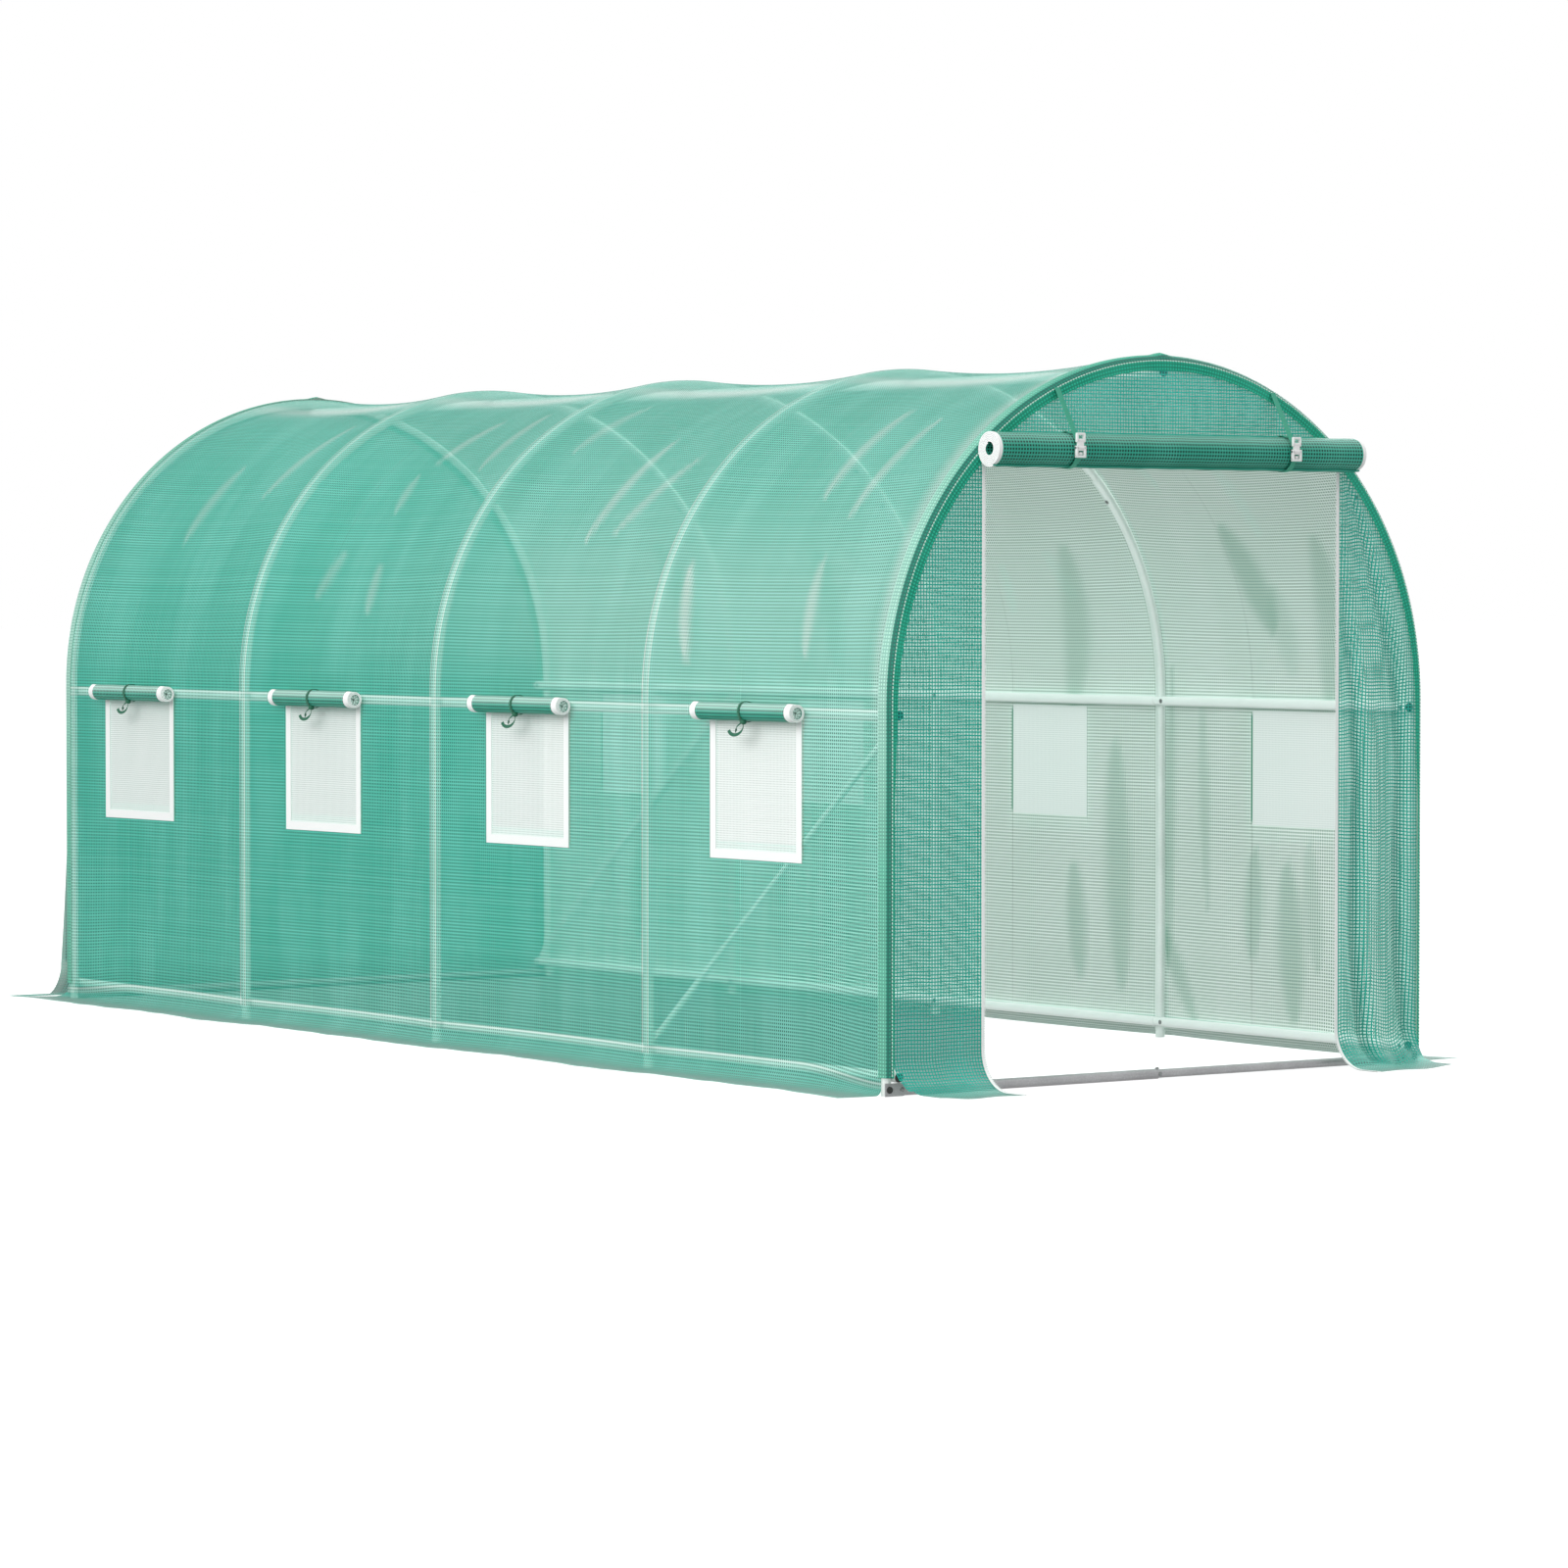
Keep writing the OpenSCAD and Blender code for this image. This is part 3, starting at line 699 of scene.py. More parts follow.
def side_places(side):
    """A wall and its ground flap, from the flap's edge up to the springing: distances out and heights."""
    outs, heights = [], []
    tip = corner_tip * np.clip(1 - (half_l + cover_ys) / corner_tip_l, 0, 1) ** 2 * (side > 0)
    for share in flap_shares:
        outs.append(flap_edge + (sheet_r + bend - flap_edge) * share + tip * (1 - share) ** 2)
        heights.append(np.full_like(bend, ground_z))
    for t in bend_turns:
        outs.append(sheet_r + bend * (1 + math.cos(t)))
        heights.append(ground_z + bend * (1 + math.sin(t)))
    for z in wall_zs:
        low = np.clip((cut_bottom - z) / (cut_bottom - bend_r - ground_z), 0, 1)
        outs.append(np.full_like(bend, sheet_r))
        heights.append(z - low * (bend_r - bend))
    return np.array(outs), np.array(heights)


left_outs, left_heights = side_places(-1)
right_outs, right_heights = side_places(1)
roof_row = np.ones_like(cover_ys)
base_x = np.concatenate(
    [-left_outs, [-sheet_r * math.cos(t) * roof_row for t in roof_turns], right_outs[::-1]]
)
base_z = np.concatenate(
    [left_heights, [(leg_h + sheet_r * math.sin(t)) * roof_row for t in roof_turns], right_heights[::-1]]
)
middle_column = int(np.argmin(np.abs(cover_ys)))
where_x, where_z = base_x[:, middle_column], base_z[:, middle_column]
above = np.maximum(where_z - leg_h, 0)
lean_x = np.where(where_z > leg_h, where_x / sheet_r, np.sign(where_x))
lean_z = above / sheet_r
girth = np.concatenate([[0.0], np.cumsum(np.hypot(np.diff(where_x), np.diff(where_z)))])

draw = sag(cover_ys)[None, :]
reach = np.clip((np.abs(where_x) - sheet_r) / (flap_edge - sheet_r), 0, 1)
ripple = np.sin(cover_ys * 9.0 + 0.7) + 0.6 * np.sin(cover_ys * 23.0 + 2.0) + 0.4 * np.sin(cover_ys * 41.0)
ripple_h, lap_h = 0.0010, 0.0015
flap_lift = ripple_h * (reach**2)[:, None] * (2.0 + ripple[None, :])
flap_lift += lap_h * np.minimum(reach * 8, 1)[:, None] * (cover_ys > half_l - back_tip_l)[None, :]
from_crown = np.abs(girth - girth[-1] / 2)


def spindle(along0, up0, along1, up1, half_width, edge):
    """How far each point of the cover lies in a fold, 1 inside it: the fold runs between two places given
    by their y and their girth from the crown, tapers to both, and fades over a share of its width."""
    run = np.array([along1 - along0, up1 - up0])
    length = np.linalg.norm(run)
    run /= length
    dy = cover_ys[None, :] - along0
    du = from_crown[:, None] - up0
    share = np.clip((dy * run[0] + du * run[1]) / length, -0.12, 1.12)
    across = np.abs(dy * run[1] - du * run[0])
    width = half_width * np.sqrt(np.maximum(np.cos((share - 0.5) * math.pi / 1.24), 0)) + 1e-6
    inside = np.clip((1 - across / width) / edge, 0, 1)
    return inside**2 * (3 - 2 * inside)


painted_sheen = np.zeros(base_x.shape)
painted_shade = np.zeros_like(painted_sheen)
on_left = (where_x < 0)[:, None]
# Pale streaks, painted highlights that also raise the sheet a little: y and girth from the crown at both
# ends, half width and strength; each is copied mirrored onto the other wall.
for along0, up0, along1, up1, half_width, depth in (
    (-1.237, 1.124, -1.300, 1.368, 0.030, 1.0), (-1.837, 1.105, -1.854, 1.347, 0.026, 0.7),
    (0.461, 1.098, 0.458, 1.247, 0.026, 0.6), (0.699, 1.054, 0.771, 1.195, 0.026, 0.5),
    (1.705, 0.697, 1.739, 0.976, 0.030, 0.6), (1.285, 0.491, 1.382, 0.794, 0.030, 0.8),
    (0.553, 0.756, 0.531, 0.888, 0.024, 0.6), (0.422, 0.467, 0.502, 0.668, 0.028, 0.7),
    (0.177, 0.460, 0.203, 0.703, 0.030, 0.7), (-0.712, 0.640, -0.625, 0.973, 0.028, 0.8),
    (-0.948, 0.733, -0.764, 0.974, 0.024, 0.7), (-1.721, 0.516, -1.692, 0.851, 0.028, 0.8),
    (-1.925, 0.591, -1.872, 0.921, 0.026, 0.8), (-0.300, 0.420, -0.240, 0.640, 0.026, 0.5),
):
    soft_half = half_width * (2.4 - depth)
    for shown, flip in ((on_left, 1), (~on_left, -1)):
        painted_sheen += shown * depth * spindle(along0 * flip, up0, along1 * flip, up1, soft_half, 1.0)
# Dark folds in the right wall, painted shade that also pushes the sheet in a little: y and girth from the
# crown at both ends, half width and depth.
for along0, up0, along1, up1, half_width, depth in (
    (-0.796, 1.065, -0.718, 1.510, 0.055, 0.8), (-1.593, 0.985, -1.674, 1.282, 0.055, 1.0),
    (-1.720, 1.183, -1.748, 1.420, 0.040, 0.5), (-1.963, 1.047, -1.906, 1.491, 0.050, 0.8),
    (-0.720, 2.054, -0.749, 2.353, 0.040, 0.9), (-0.912, 1.716, -0.938, 2.342, 0.050, 0.8),
    (-1.321, 1.576, -1.346, 2.093, 0.022, 0.6), (-1.130, 2.233, -1.274, 2.465, 0.032, 0.9),
    (-1.577, 1.987, -1.565, 2.265, 0.036, 0.8), (-1.726, 2.034, -1.754, 2.425, 0.050, 0.9),
    (-1.822, 1.967, -1.856, 2.281, 0.032, 0.6), (-1.165, 1.500, -1.152, 2.260, 0.020, 0.8),
    (0.480, 1.060, 0.510, 1.400, 0.050, 0.8), (1.380, 1.020, 1.330, 1.310, 0.050, 0.8),
    (1.640, 2.080, 1.660, 2.350, 0.045, 0.9), (0.210, 1.980, 0.230, 2.300, 0.045, 0.8),
):
    painted_shade += ~on_left * depth * 0.5 * spindle(along0, up0, along1, up1, half_width * 1.8, 0.75)
crease_h, pleat_h = 0.004, 0.006
crease_lift = crease_h * np.minimum(painted_sheen, 1.2) - pleat_h * np.minimum(painted_shade, 1.0)
clear_of_flap = (where_z > bend_r)[:, None]
# More painted highlights: thin lines along the crests over hoops and rails, a broad paler patch on the front
# haunches, a painted sky reflection either side of the ridge, and a pale glint beside the front hoop.
on_hoop = np.max([np.interp(cover_ys - y, hoop_steps, hoop_gleams) for y in crest_ys], axis=0)
on_rail = np.maximum(
    np.interp(where_z - base_rail_z, rail_steps, rail_gleams),
    0.75 * np.interp(where_z - mid_rail_z, rail_steps, rail_gleams),
)
crest_highlight = np.minimum(on_hoop[None, :] + on_rail[:, None], 0.9)
front_haunch_sheen = np.exp(-(((where_z - 1.32) / 0.30) ** 2))[:, None] * np.clip((0.9 - cover_ys) / 1.6, 0, 1)[None, :]
ridge_sheen = np.exp(-(((from_crown - 0.25) / 0.05) ** 2))[:, None] * np.sqrt(draw / sag_depth)
painted_sheen = np.maximum(np.clip(painted_sheen, 0, 1) * 0.70, clear_of_flap * crest_highlight) + 0.27 * front_haunch_sheen + 0.85 * ridge_sheen
haunch = np.clip((where_z - 0.75) / 0.45, 0, 1)[:, None]
front_gleam = np.exp(-(((cover_ys[None, :] + half_l) / (0.020 + 0.045 * haunch)) ** 2))
painted_sheen = np.maximum(painted_sheen, clear_of_flap * (0.15 + 0.60 * haunch) * front_gleam)
painted_shade = np.clip(painted_shade, 0, 1)
# The strip beside each window border gets full painted shade, as a painted shadow.
shadow_strip_shade = 1.9
for side in (-1, 1):
    beside = (where_z > shadow_strip_zs[side][0]) & (where_z < shadow_strip_zs[side][1]) & (where_x * side > 0)
    for y in shadow_strip_ys[side]:
        in_shadow_strip = (cover_ys - y) * side
        painted_shade[np.ix_(beside, (in_shadow_strip > -1e-6) & (in_shadow_strip < shadow_strip_w + 1e-6))] = shadow_strip_shade

offset = crease_lift - draw
cover_points = np.zeros(base_x.shape + (3,))
cover_points[..., 0] = base_x + offset * lean_x[:, None]
near_back = np.clip(1 - (half_l - cover_ys) / back_tip_l, 0, 1) ** 2
pulled = 0.45 * np.clip(1 - where_z / back_tip_h, 0, 1) ** 2 + 0.55 * reach
cover_points[..., 1] = cover_ys[None, :] + back_tip * near_back[None, :] * pulled[:, None]
cover_points[..., 2] = base_z + offset * lean_z[:, None] + flap_lift
cover_cloth_uv = np.stack(
    [np.broadcast_to(cover_ys[None, :], painted_sheen.shape), np.broadcast_to(girth[:, None], painted_sheen.shape)], -1
)
cell_z = (where_z[:-1] + where_z[1:]) / 2
cell_x = (where_x[:-1] + where_x[1:]) / 2
cell_y = (cover_ys[:-1] + cover_ys[1:]) / 2
window_cells = np.zeros((len(cell_z), len(cell_y)), bool)
for side in (-1, 1):
    in_height = (cell_z > cut_bottom) & (cell_z < window_top) & (cell_x * side > 0)
    for y in window_ys[side]:
        window_cells |= in_height[:, None] & (np.abs(cell_y - y) < cut_half)[None, :]
doubled = np.zeros_like(painted_sheen)
for side in (-1, 1):
    beside = (where_z > border_low.z + 0.02) & (where_z < border_high.z) & (where_x * side > 0)
    for y in window_ys[side]:
        doubled += beside[:, None] & (np.abs(cover_ys - y) < window_w / 2 - 0.015)[None, :]
hem_w = 0.018
doubled += (np.abs(where_x) > flap_edge - hem_w)[:, None]
tunnel_cover = sheet_piece(
    "tunnel_cover",
    cover_points,
    cover_cloth_uv,
    cover_cloth,
    open_cells=window_cells,
    marks={
        "painted_sheen": painted_sheen, "painted_shade": painted_shade, "doubled": doubled,
        "ground_grey": np.clip(reach * 1.5, 0, 1)[:, None] * np.ones_like(painted_sheen),
    },
)
roof_names = [f"roof_bay_{i}" for i in range(1, 5)]
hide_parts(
    *roof_names, "left_wall", "right_wall", "left_ground_flap", "right_ground_flap"
)


# Front panels: woven sheets on both sides of the doorway, sewn into the front hoop's sleeve,
# with their lower edges turned out along the ground. The right one hangs slack, in folds.
panel_low, panel_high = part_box("front_left_panel")
panel_y = (panel_low.y + panel_high.y) / 2
panel_inset = 0.002
panel_r = hoop_r - panel_inset
door_x = -panel_high.x
door_top = panel_high.z
flare_low, flare_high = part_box("front_ground_flaps")
flare_r = flare_high.z - ground_z
flare_edge = -flare_low.y


def panel_half_width(z):
    """Half the width of an end panel at a height."""
    above = np.maximum(np.asarray(z) - leg_h, 0)
    return np.sqrt(np.maximum(panel_r**2 - above**2, 0))


def run_along(points):
    """Distance run along a line of points, at each of them."""
    return np.concatenate([[0.0], np.cumsum(np.linalg.norm(np.diff(points, axis=0), axis=1))])


def flare_profile(top, count):
    """(out, height, girth) down an end panel from a height, round the bend and out along the ground."""
    down = [(0.0, z) for z in np.linspace(top, flare_r + ground_z, count)]
    bend = [
        (flare_r * (1 - math.cos(t)), ground_z + flare_r * (1 - math.sin(t)))
        for t in np.linspace(0, math.pi / 2, 13)[1:]
    ]
    flat = [(out, ground_z) for out in np.linspace(flare_r, flare_edge + panel_y, 7)[1:]]
    points = np.array(down + bend + flat)
    return points[:, 0], points[:, 1], run_along(points)


# The front panels' cloth is a darker copy of the cover's, as painted shade, with holes painted bright, as the
# lit inside seen through them.
front_outside = ((0.002, 0.33, 0.245, 1), (0.025, 0.47, 0.37, 1), (0.03, 0.88, 0.74, 1), 0.98, 0.16)
fold_shade_dark = (0.004, 0.16, 0.115, 1)
front_cloth = cloth_finish("front_cloth", front_outside, inside_cloth, 0.85, fold_shade_dark, (0.7, 0.5), 0.66)
foot_inset, fold_depth = 0.020, 0.012
for side, name in ((-1, "left"), (1, "right")):
    out, height, run = flare_profile(door_top, 72)
    share = np.linspace(0, 1, 31)
    wide = panel_half_width(height)
    wide = wide - foot_inset * np.clip(out / (0.6 * flare_r), 0, 1)
    x = door_x + (wide - door_x)[:, None] * share[None, :]
    slack = np.clip((door_top - height) / door_top, 0, 1)[:, None]
    billow, dip = (0.014, 0.011) if side > 0 else (0.002, 0.001)
    lean = (3.0 * height + 0.9 * np.sin(5.0 * height))[:, None]
    wave = np.sin(share[None, :] * 12.0 + lean) + 0.45 * np.sin(share[None, :] * 23.0 + 1.7 * lean + 2.0)
    row_wave = np.sin(share[None, :] * 7.5 + 2.0 * np.sin(2.6 * height)[:, None])
    row_wave = row_wave + 0.5 * np.sin(share[None, :] * 16.0 + 5.0 * height[:, None])
    lying = (out > 0.5 * flare_r).astype(float)[:, None]
    loose = np.sqrt(slack) * (1 - lying) * np.sqrt(np.sin(math.pi * share))[None, :]
    bulge = billow * wave * loose
    # Fold valleys are painted darker, as painted shade, and ridges a little paler, as painted highlight; a
    # row along the ground bend gets a painted highlight too.
    deep = np.clip(-bulge / fold_depth, 0, 1) ** 1.5
    gleam = 0.35 * np.exp(-(((out - 0.75 * flare_r) / (0.22 * flare_r)) ** 2))[:, None] * share[None, ::-1]
    points = np.zeros(x.shape + (3,))
    points[..., 0] = side * x
    points[..., 1] = panel_y - out[:, None] - bulge
    ground_lift = 0.004 * lying * (1 + np.sin(share * 8.0)[None, :]) * share[None, :]
    points[..., 2] = height[:, None] + ground_lift + dip * row_wave * loose
    cloth = np.stack([x, np.broadcast_to(-run[:, None], x.shape)], -1)
    panel = sheet_piece(
        f"front_{name}_sheet", points, cloth, front_cloth, outward=side > 0,
        marks={
            "painted_shade": deep, "painted_sheen": np.clip(bulge / fold_depth, 0, 1) * 0.12 + gleam,
            "ground_grey": np.clip(out / flare_r - 0.6, 0, 1)[:, None] * np.ones_like(x),
        },
    )
    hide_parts(f"front_{name}_panel", "front_ground_flaps")


# Front gable: the woven sheet above the doorway, sewn along its arch into the front sleeve.
# It is held taut, and the rolled door hangs in front of its lower edge.
# The gable's cloth is a copy of the front cloth painted lighter, with brighter holes, to make up for the
# shade under the roof: painted light.
gable_outside = ((0.010, 0.44, 0.34, 1), (0.06, 0.60, 0.48, 1), (0.20, 0.95, 0.84, 1), 0.98, 0.25)
gable_cloth = cloth_finish("gable_cloth", gable_outside, inside_cloth, 0.85, fold_shade_dark, holes=0.66)
gable_half = float(panel_half_width(door_top)) * 0.997
gable_x = np.linspace(-gable_half, gable_half, 91)
gable_share = np.linspace(0, 1, 17)
arch_z = leg_h + np.sqrt(panel_r**2 - gable_x**2)
points = np.zeros((len(gable_share), len(gable_x), 3))
points[..., 0] = gable_x[None, :]
points[..., 2] = door_top + (arch_z - door_top)[None, :] * gable_share[:, None]
points[..., 1] = panel_y - 0.002 * np.sin(gable_x * 14.0)[None, :] * np.sin(math.pi * gable_share)[:, None]
cloth = points[..., [0, 2]]
gable = sheet_piece("front_gable_sheet", points, cloth, gable_cloth, outward=False)
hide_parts("front_gable")


# Back end: one whole woven sheet, sewn into the back hoop's sleeve, with its lower edge
# turned out along the ground and its lower corners spread past the legs.
back_cloth = cloth_finish("back_cloth", outside_cloth, outside_cloth, 0.75, fold_shade_green, gleams=(1.0, 0.9))
out, height, run = flare_profile(leg_h + panel_r * 0.9995, 110)
share = np.linspace(-1, 1, 101)
wide = panel_half_width(height)
corner_spread, hem_flare = 0.14, 0.045
spread = np.clip((out - flare_r * 0.4) / (flare_r * 0.8), 0, 1)
flared = np.clip(1 - height / leg_h, 0, 1) ** 2
wide = wide + np.maximum(spread * corner_spread, flared * hem_flare)
x = wide[:, None] * share[None, :]
points = np.zeros(x.shape + (3,))
points[..., 0] = x
slack = np.clip(1 - height / leg_h, 0, 1)[:, None]
points[..., 1] = -panel_y + out[:, None] + 0.003 * np.sin(x * 11.0) * slack * (out == 0)[:, None]
points[..., 2] = height[:, None]
cloth = np.stack([x, np.broadcast_to(-run[:, None], x.shape)], -1)
# The strip past the back hoop's legs gets a painted sheen, which lightens its shade.
back_sheet = sheet_piece(
    "back_end_sheet", points, cloth, back_cloth, outward=False,
    marks={
        "ground_grey": np.clip(out / flare_r - 1.2, 0, 1)[:, None] * np.ones_like(x),
        "painted_sheen": 0.55 * (np.abs(x) > hoop_r + tube_r) * (out < flare_r * 1.2)[:, None],
    },
)
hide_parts("back_panel", "back_ground_flap")


# Sleeves: the cover's ends are doubled round the end hoops and sewn down in front,
# with a line of pale stitches along the fold and a flat hem inside it.
def swept(path, section, across):
    """A section of (across, up) points carried along a path, as a grid of points."""
    path, section = np.asarray(path, float), np.asarray(section, float)
    along = np.gradient(path, axis=0)
    along /= np.linalg.norm(along, axis=1)[:, None]
    across = np.broadcast_to(np.asarray(across, float), path.shape)
    across = across - along * np.sum(across * along, axis=1)[:, None]
    across = across / np.linalg.norm(across, axis=1)[:, None]
    up = np.cross(along, across)
    return (
        path[:, None, :]
        + section[None, :, 0, None] * across[:, None, :]
        + section[None, :, 1, None] * up[:, None, :]
    )


def swept_solid(path, section, across):
    """A closed section carried along a path and closed at its ends: vertices and faces."""
    points = swept(path, section, across)
    rows, cols = points.shape[:2]
    faces = []
    for row in range(rows - 1):
        for k in range(cols):
            a, b = row * cols + k, row * cols + (k + 1) % cols
            faces.append((a, b, b + cols, a + cols))
    faces.append(tuple(range(cols))[::-1])
    faces.append(tuple((rows - 1) * cols + k for k in range(cols)))
    return [tuple(p) for p in points.reshape(-1, 3)], faces


def hoop_path(radius, y, foot):
    """A line round an end of the tunnel at a radius, from the left foot over the crown to the right foot."""
    legs = np.linspace(foot, leg_h, 40)[:-1]
    turns = np.linspace(0, math.pi, 201)
    left = [(-radius, y, z) for z in legs]
    crown = [(-radius * math.cos(t), y, leg_h + radius * math.sin(t)) for t in turns]
    right = [(radius, y, z) for z in legs[::-1]]
    return np.array(left + crown + right)


emerald = ((0.005, 0.24, 0.15, 1), (0.03, 0.38, 0.25, 1), (0.03, 0.58, 0.38, 1), 0.98, 0.96)
# The sleeve's inside is painted pale in the same way, as light through the cloth.
emerald_inside = ((0.66, 0.80, 0.74, 1), (0.82, 0.91, 0.87, 1), (0.45, 0.62, 0.55, 1), 0.98, 0.96)
seam_shade = (0.025, 0.15, 0.115, 1)
sleeve_cloth = cloth_finish(
    "sleeve_cloth", emerald, emerald_inside, 0.3, seam_shade, (0.95, 0.0), gleams=(0.55, 1.0)
)
stitch_finish = two_tone_finish(
    "stitch_thread", "Wave", {"Scale": 130.0, "Distortion": 1.5},
    ((0.42, 0.80, 0.66, 1), (0.80, 0.97, 0.90, 1)), (0.4, 0.6), (0.3, 0.0006),
    bands_direction="DIAGONAL",
)


def strip(width, thick):
    """A flat section with eased edges."""
    w, t, e = width / 2, thick / 2, thick * 0.4
    return [
        (-w + e, -t), (w - e, -t), (w, -t + e), (w, t - e),
        (w - e, t), (-w + e, t), (-w, t - e), (-w, -t + e),
    ]


sleeve_deep, sleeve_slack = 0.0325, 0.0015
sleeve_tall = cover_r + sleeve_slack - hoop_r
seam_flat, leg_flat = 0.024, 0.004
sleeve_turns = np.array([0.62, 0.56, 0.50, 0.44, 0.38, 0.33, 0.29, 0.27, 0.20, 0.13, 0.07, 0.05, 0.0])
in_stripe = np.append((sleeve_turns > 0.06) & (sleeve_turns < 0.28), [False] * 3)
in_roll = np.append(sleeve_turns > 0.28, [False] * 3)
stitch_turn = 0.05 * math.pi
stitch_l, stitch_w, stitch_t = 0.006, 0.0034, 0.0016
sleeve_foot = 0.05
crown_bump_h, crown_bump_half = 0.007, 0.022
for end, name, hoop in ((-1, "front", "hoop_1"), (1, "back", "hoop_5")):
    section = [
        (end * sleeve_deep * math.cos(t), sleeve_tall * math.sin(t)) for t in sleeve_turns * math.pi
    ]
    section += [(end * sleeve_deep, -step * seam_flat) for step in (0.35, 0.7, 1.0)]
    path = hoop_path(hoop_r, end * half_l, sleeve_foot)
    points = swept(path, section, (0, 1, 0))
    narrow = np.interp(path[:, 2], [0.75, leg_h, 1.35], [leg_flat / seam_flat, 0.65, 1.0])
    fold_line = points[:, len(sleeve_turns) - 1 : len(sleeve_turns)]
    points[:, len(sleeve_turns) :] = (
        fold_line + (points[:, len(sleeve_turns) :] - fold_line) * narrow[:, None, None]
    )
    spans, widths = run_along(path), run_along(np.array(section))
    cloth = np.stack(np.meshgrid(spans, widths, indexing="ij"), -1)
    crown_bump = crown_bump_h * np.exp(-((path[:, 0] / crown_bump_half) ** 2)) * (path[:, 2] > leg_h)
    points[..., 2] += crown_bump[:, None] * np.append(np.sin(sleeve_turns * math.pi), [0] * 3)[None, :]
    # The rolled part of the sleeve is painted paler towards its sides and more so higher up, as a painted
    # highlight, and a stripe along it is painted dark, as painted shade.
    lit = (np.abs(path[:, 0]) / hoop_r) ** 1.5 * np.interp(path[:, 2], [0.6, 1.1], [0.3, 0.8])
    sleeve = sheet_piece(
        f"{name}_sleeve", points, cloth, sleeve_cloth, outward=end > 0,
        marks={
            "painted_sheen": 0.85 * lit[:, None] * in_roll[None, :],
            "painted_shade": np.ones_like(lit)[:, None] * in_stripe,
        },
    )
    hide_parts(f"{name}_edge_band")
    seam_r = hoop_r + sleeve_tall * math.sin(stitch_turn)
    seam_y = end * (half_l + sleeve_deep * math.cos(stitch_turn) + stitch_t / 2)
    seam = hoop_path(seam_r, seam_y, sleeve_foot)
    seam_run = run_along(seam)
    stitches = []
    for start in np.arange(weave_pitch / 2, seam_run[-1] - stitch_l, weave_pitch):
        ends = [[np.interp(s, seam_run, seam[:, k]) for k in range(3)] for s in (start, start + stitch_l)]
        outward_from = np.array([ends[0][0], 0, max(ends[0][2] - leg_h, 0)])
        stitches.append(swept_solid(ends, strip(stitch_w, stitch_t), outward_from))
    thread = solid_piece(f"{name}_seam_stitches", stitches, stitch_finish)


# Windows: fine white net screens over the openings in the walls, each sewn in behind a
# border of white tape.
screen_cloth = cloth_finish(
    "screen_net",
    ((0.88, 0.92, 0.90, 1), (0.95, 0.97, 0.96, 1), (0.79, 0.85, 0.82, 1), 0.90, 0.60),
    ((0.96, 0.98, 0.97, 1), (0.99, 0.99, 0.99, 1), (0.92, 0.95, 0.94, 1), 0.92, 0.76),
    0.6,
    fold_shade_green,
    pitch=0.0065,
)
white_tape, tree, shader = new_finish("white_tape")
where = place(tree, "ShaderNodeTexCoord").outputs["Object"]
fuzz = place(tree, "ShaderNodeTexNoise", {"Vector": where, "Scale": 420.0, "Detail": 3.0}).outputs["Fac"]
stain = place(tree, "ShaderNodeTexNoise", {"Vector": where, "Scale": 6.0, "Detail": 2.0}).outputs["Fac"]
feed(
    tree,
    shader,
    Base_Color=mixed_colour(
        tree,
        figure(tree, "MULTIPLY_ADD", fuzz, 0.5, figure(tree, "MULTIPLY", stain, 0.5)),
        (0.88, 0.91, 0.90, 1),
        (0.98, 0.985, 0.98, 1),
    ),
    Roughness=mixed_value(tree, fuzz, 0.6, 0.85),
    Normal=bumped(tree, fuzz, 0.35, 0.0012),
)


def wall_patch(side, ys, zs, lift):
    """A grid of points that follows a wall's sag, standing off its sheet by a distance."""
    spread = np.stack(np.meshgrid(zs, ys, indexing="ij"), -1)
    points = np.zeros(spread.shape[:2] + (3,))
    points[..., 0] = side * (sheet_r - sag(spread[..., 1]) + lift)
    points[..., 1:] = spread[..., ::-1]
    return points


lap, patch_step = 0.006, 0.03
screen_lift, border_lift, tape_t = 0.0009, 0.0018, 0.0015
screen_half, screen_low, screen_high = window_half + lap, window_bottom - lap, window_top + lap
for side, wall in ((-1, "left"), (1, "right")):
    for number, middle in enumerate(window_ys[side], 1):
        ys = lines([middle - screen_half, middle + screen_half], patch_step)
        points = wall_patch(side, ys, lines([screen_low, screen_high], patch_step), screen_lift)
        screen = sheet_piece(
            f"{wall}_window_screen_{number}", points, points[..., 1:], screen_cloth,
            outward=side < 0,
        )
        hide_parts("window_screens")

        edges = [middle + way * half for way in (-1, 1) for half in (window_w / 2, window_half)]
        ys = lines(edges, patch_step)
        zs = lines([border_low.z, window_bottom, window_top, border_high.z], patch_step)
        points = wall_patch(side, ys, zs, border_lift)
        mid_z, mid_y = (zs[:-1] + zs[1:]) / 2, (ys[:-1] + ys[1:]) / 2
        in_height = (mid_z > window_bottom) & (mid_z < window_top)
        in_width = np.abs(mid_y - middle) < window_half
        border = sheet_piece(
            f"{wall}_window_border_{number}", points, points[..., 1:], white_tape,
            outward=side < 0, open_cells=in_height[:, None] & in_width,
        )
        border.data.shade_flat()
        body = border.modifiers.new("tape_thickness", "SOLIDIFY")
        body.thickness = tape_t
        body.offset = 1.0
        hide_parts("window_borders")


# Rolls: the window flaps and the door are green woven cloth wound up on itself, so their ends
# show the turns. Their side hems are white tape, and ribbons and straps hold them up.
# The rolled cloth's holes are painted near black, as the shade between its turns.
rolled_side = ((0.02, 0.36, 0.25, 1), (0.09, 0.53, 0.40, 1), (0.001, 0.012, 0.008, 1), 1.0, 1.0)
roll_finish = cloth_finish(
    "rolled_cloth", rolled_side, rolled_side, 0.0, fold_shade_green, holes=0.57, gleams=(1.0, 0.5), gloss=0.2
)


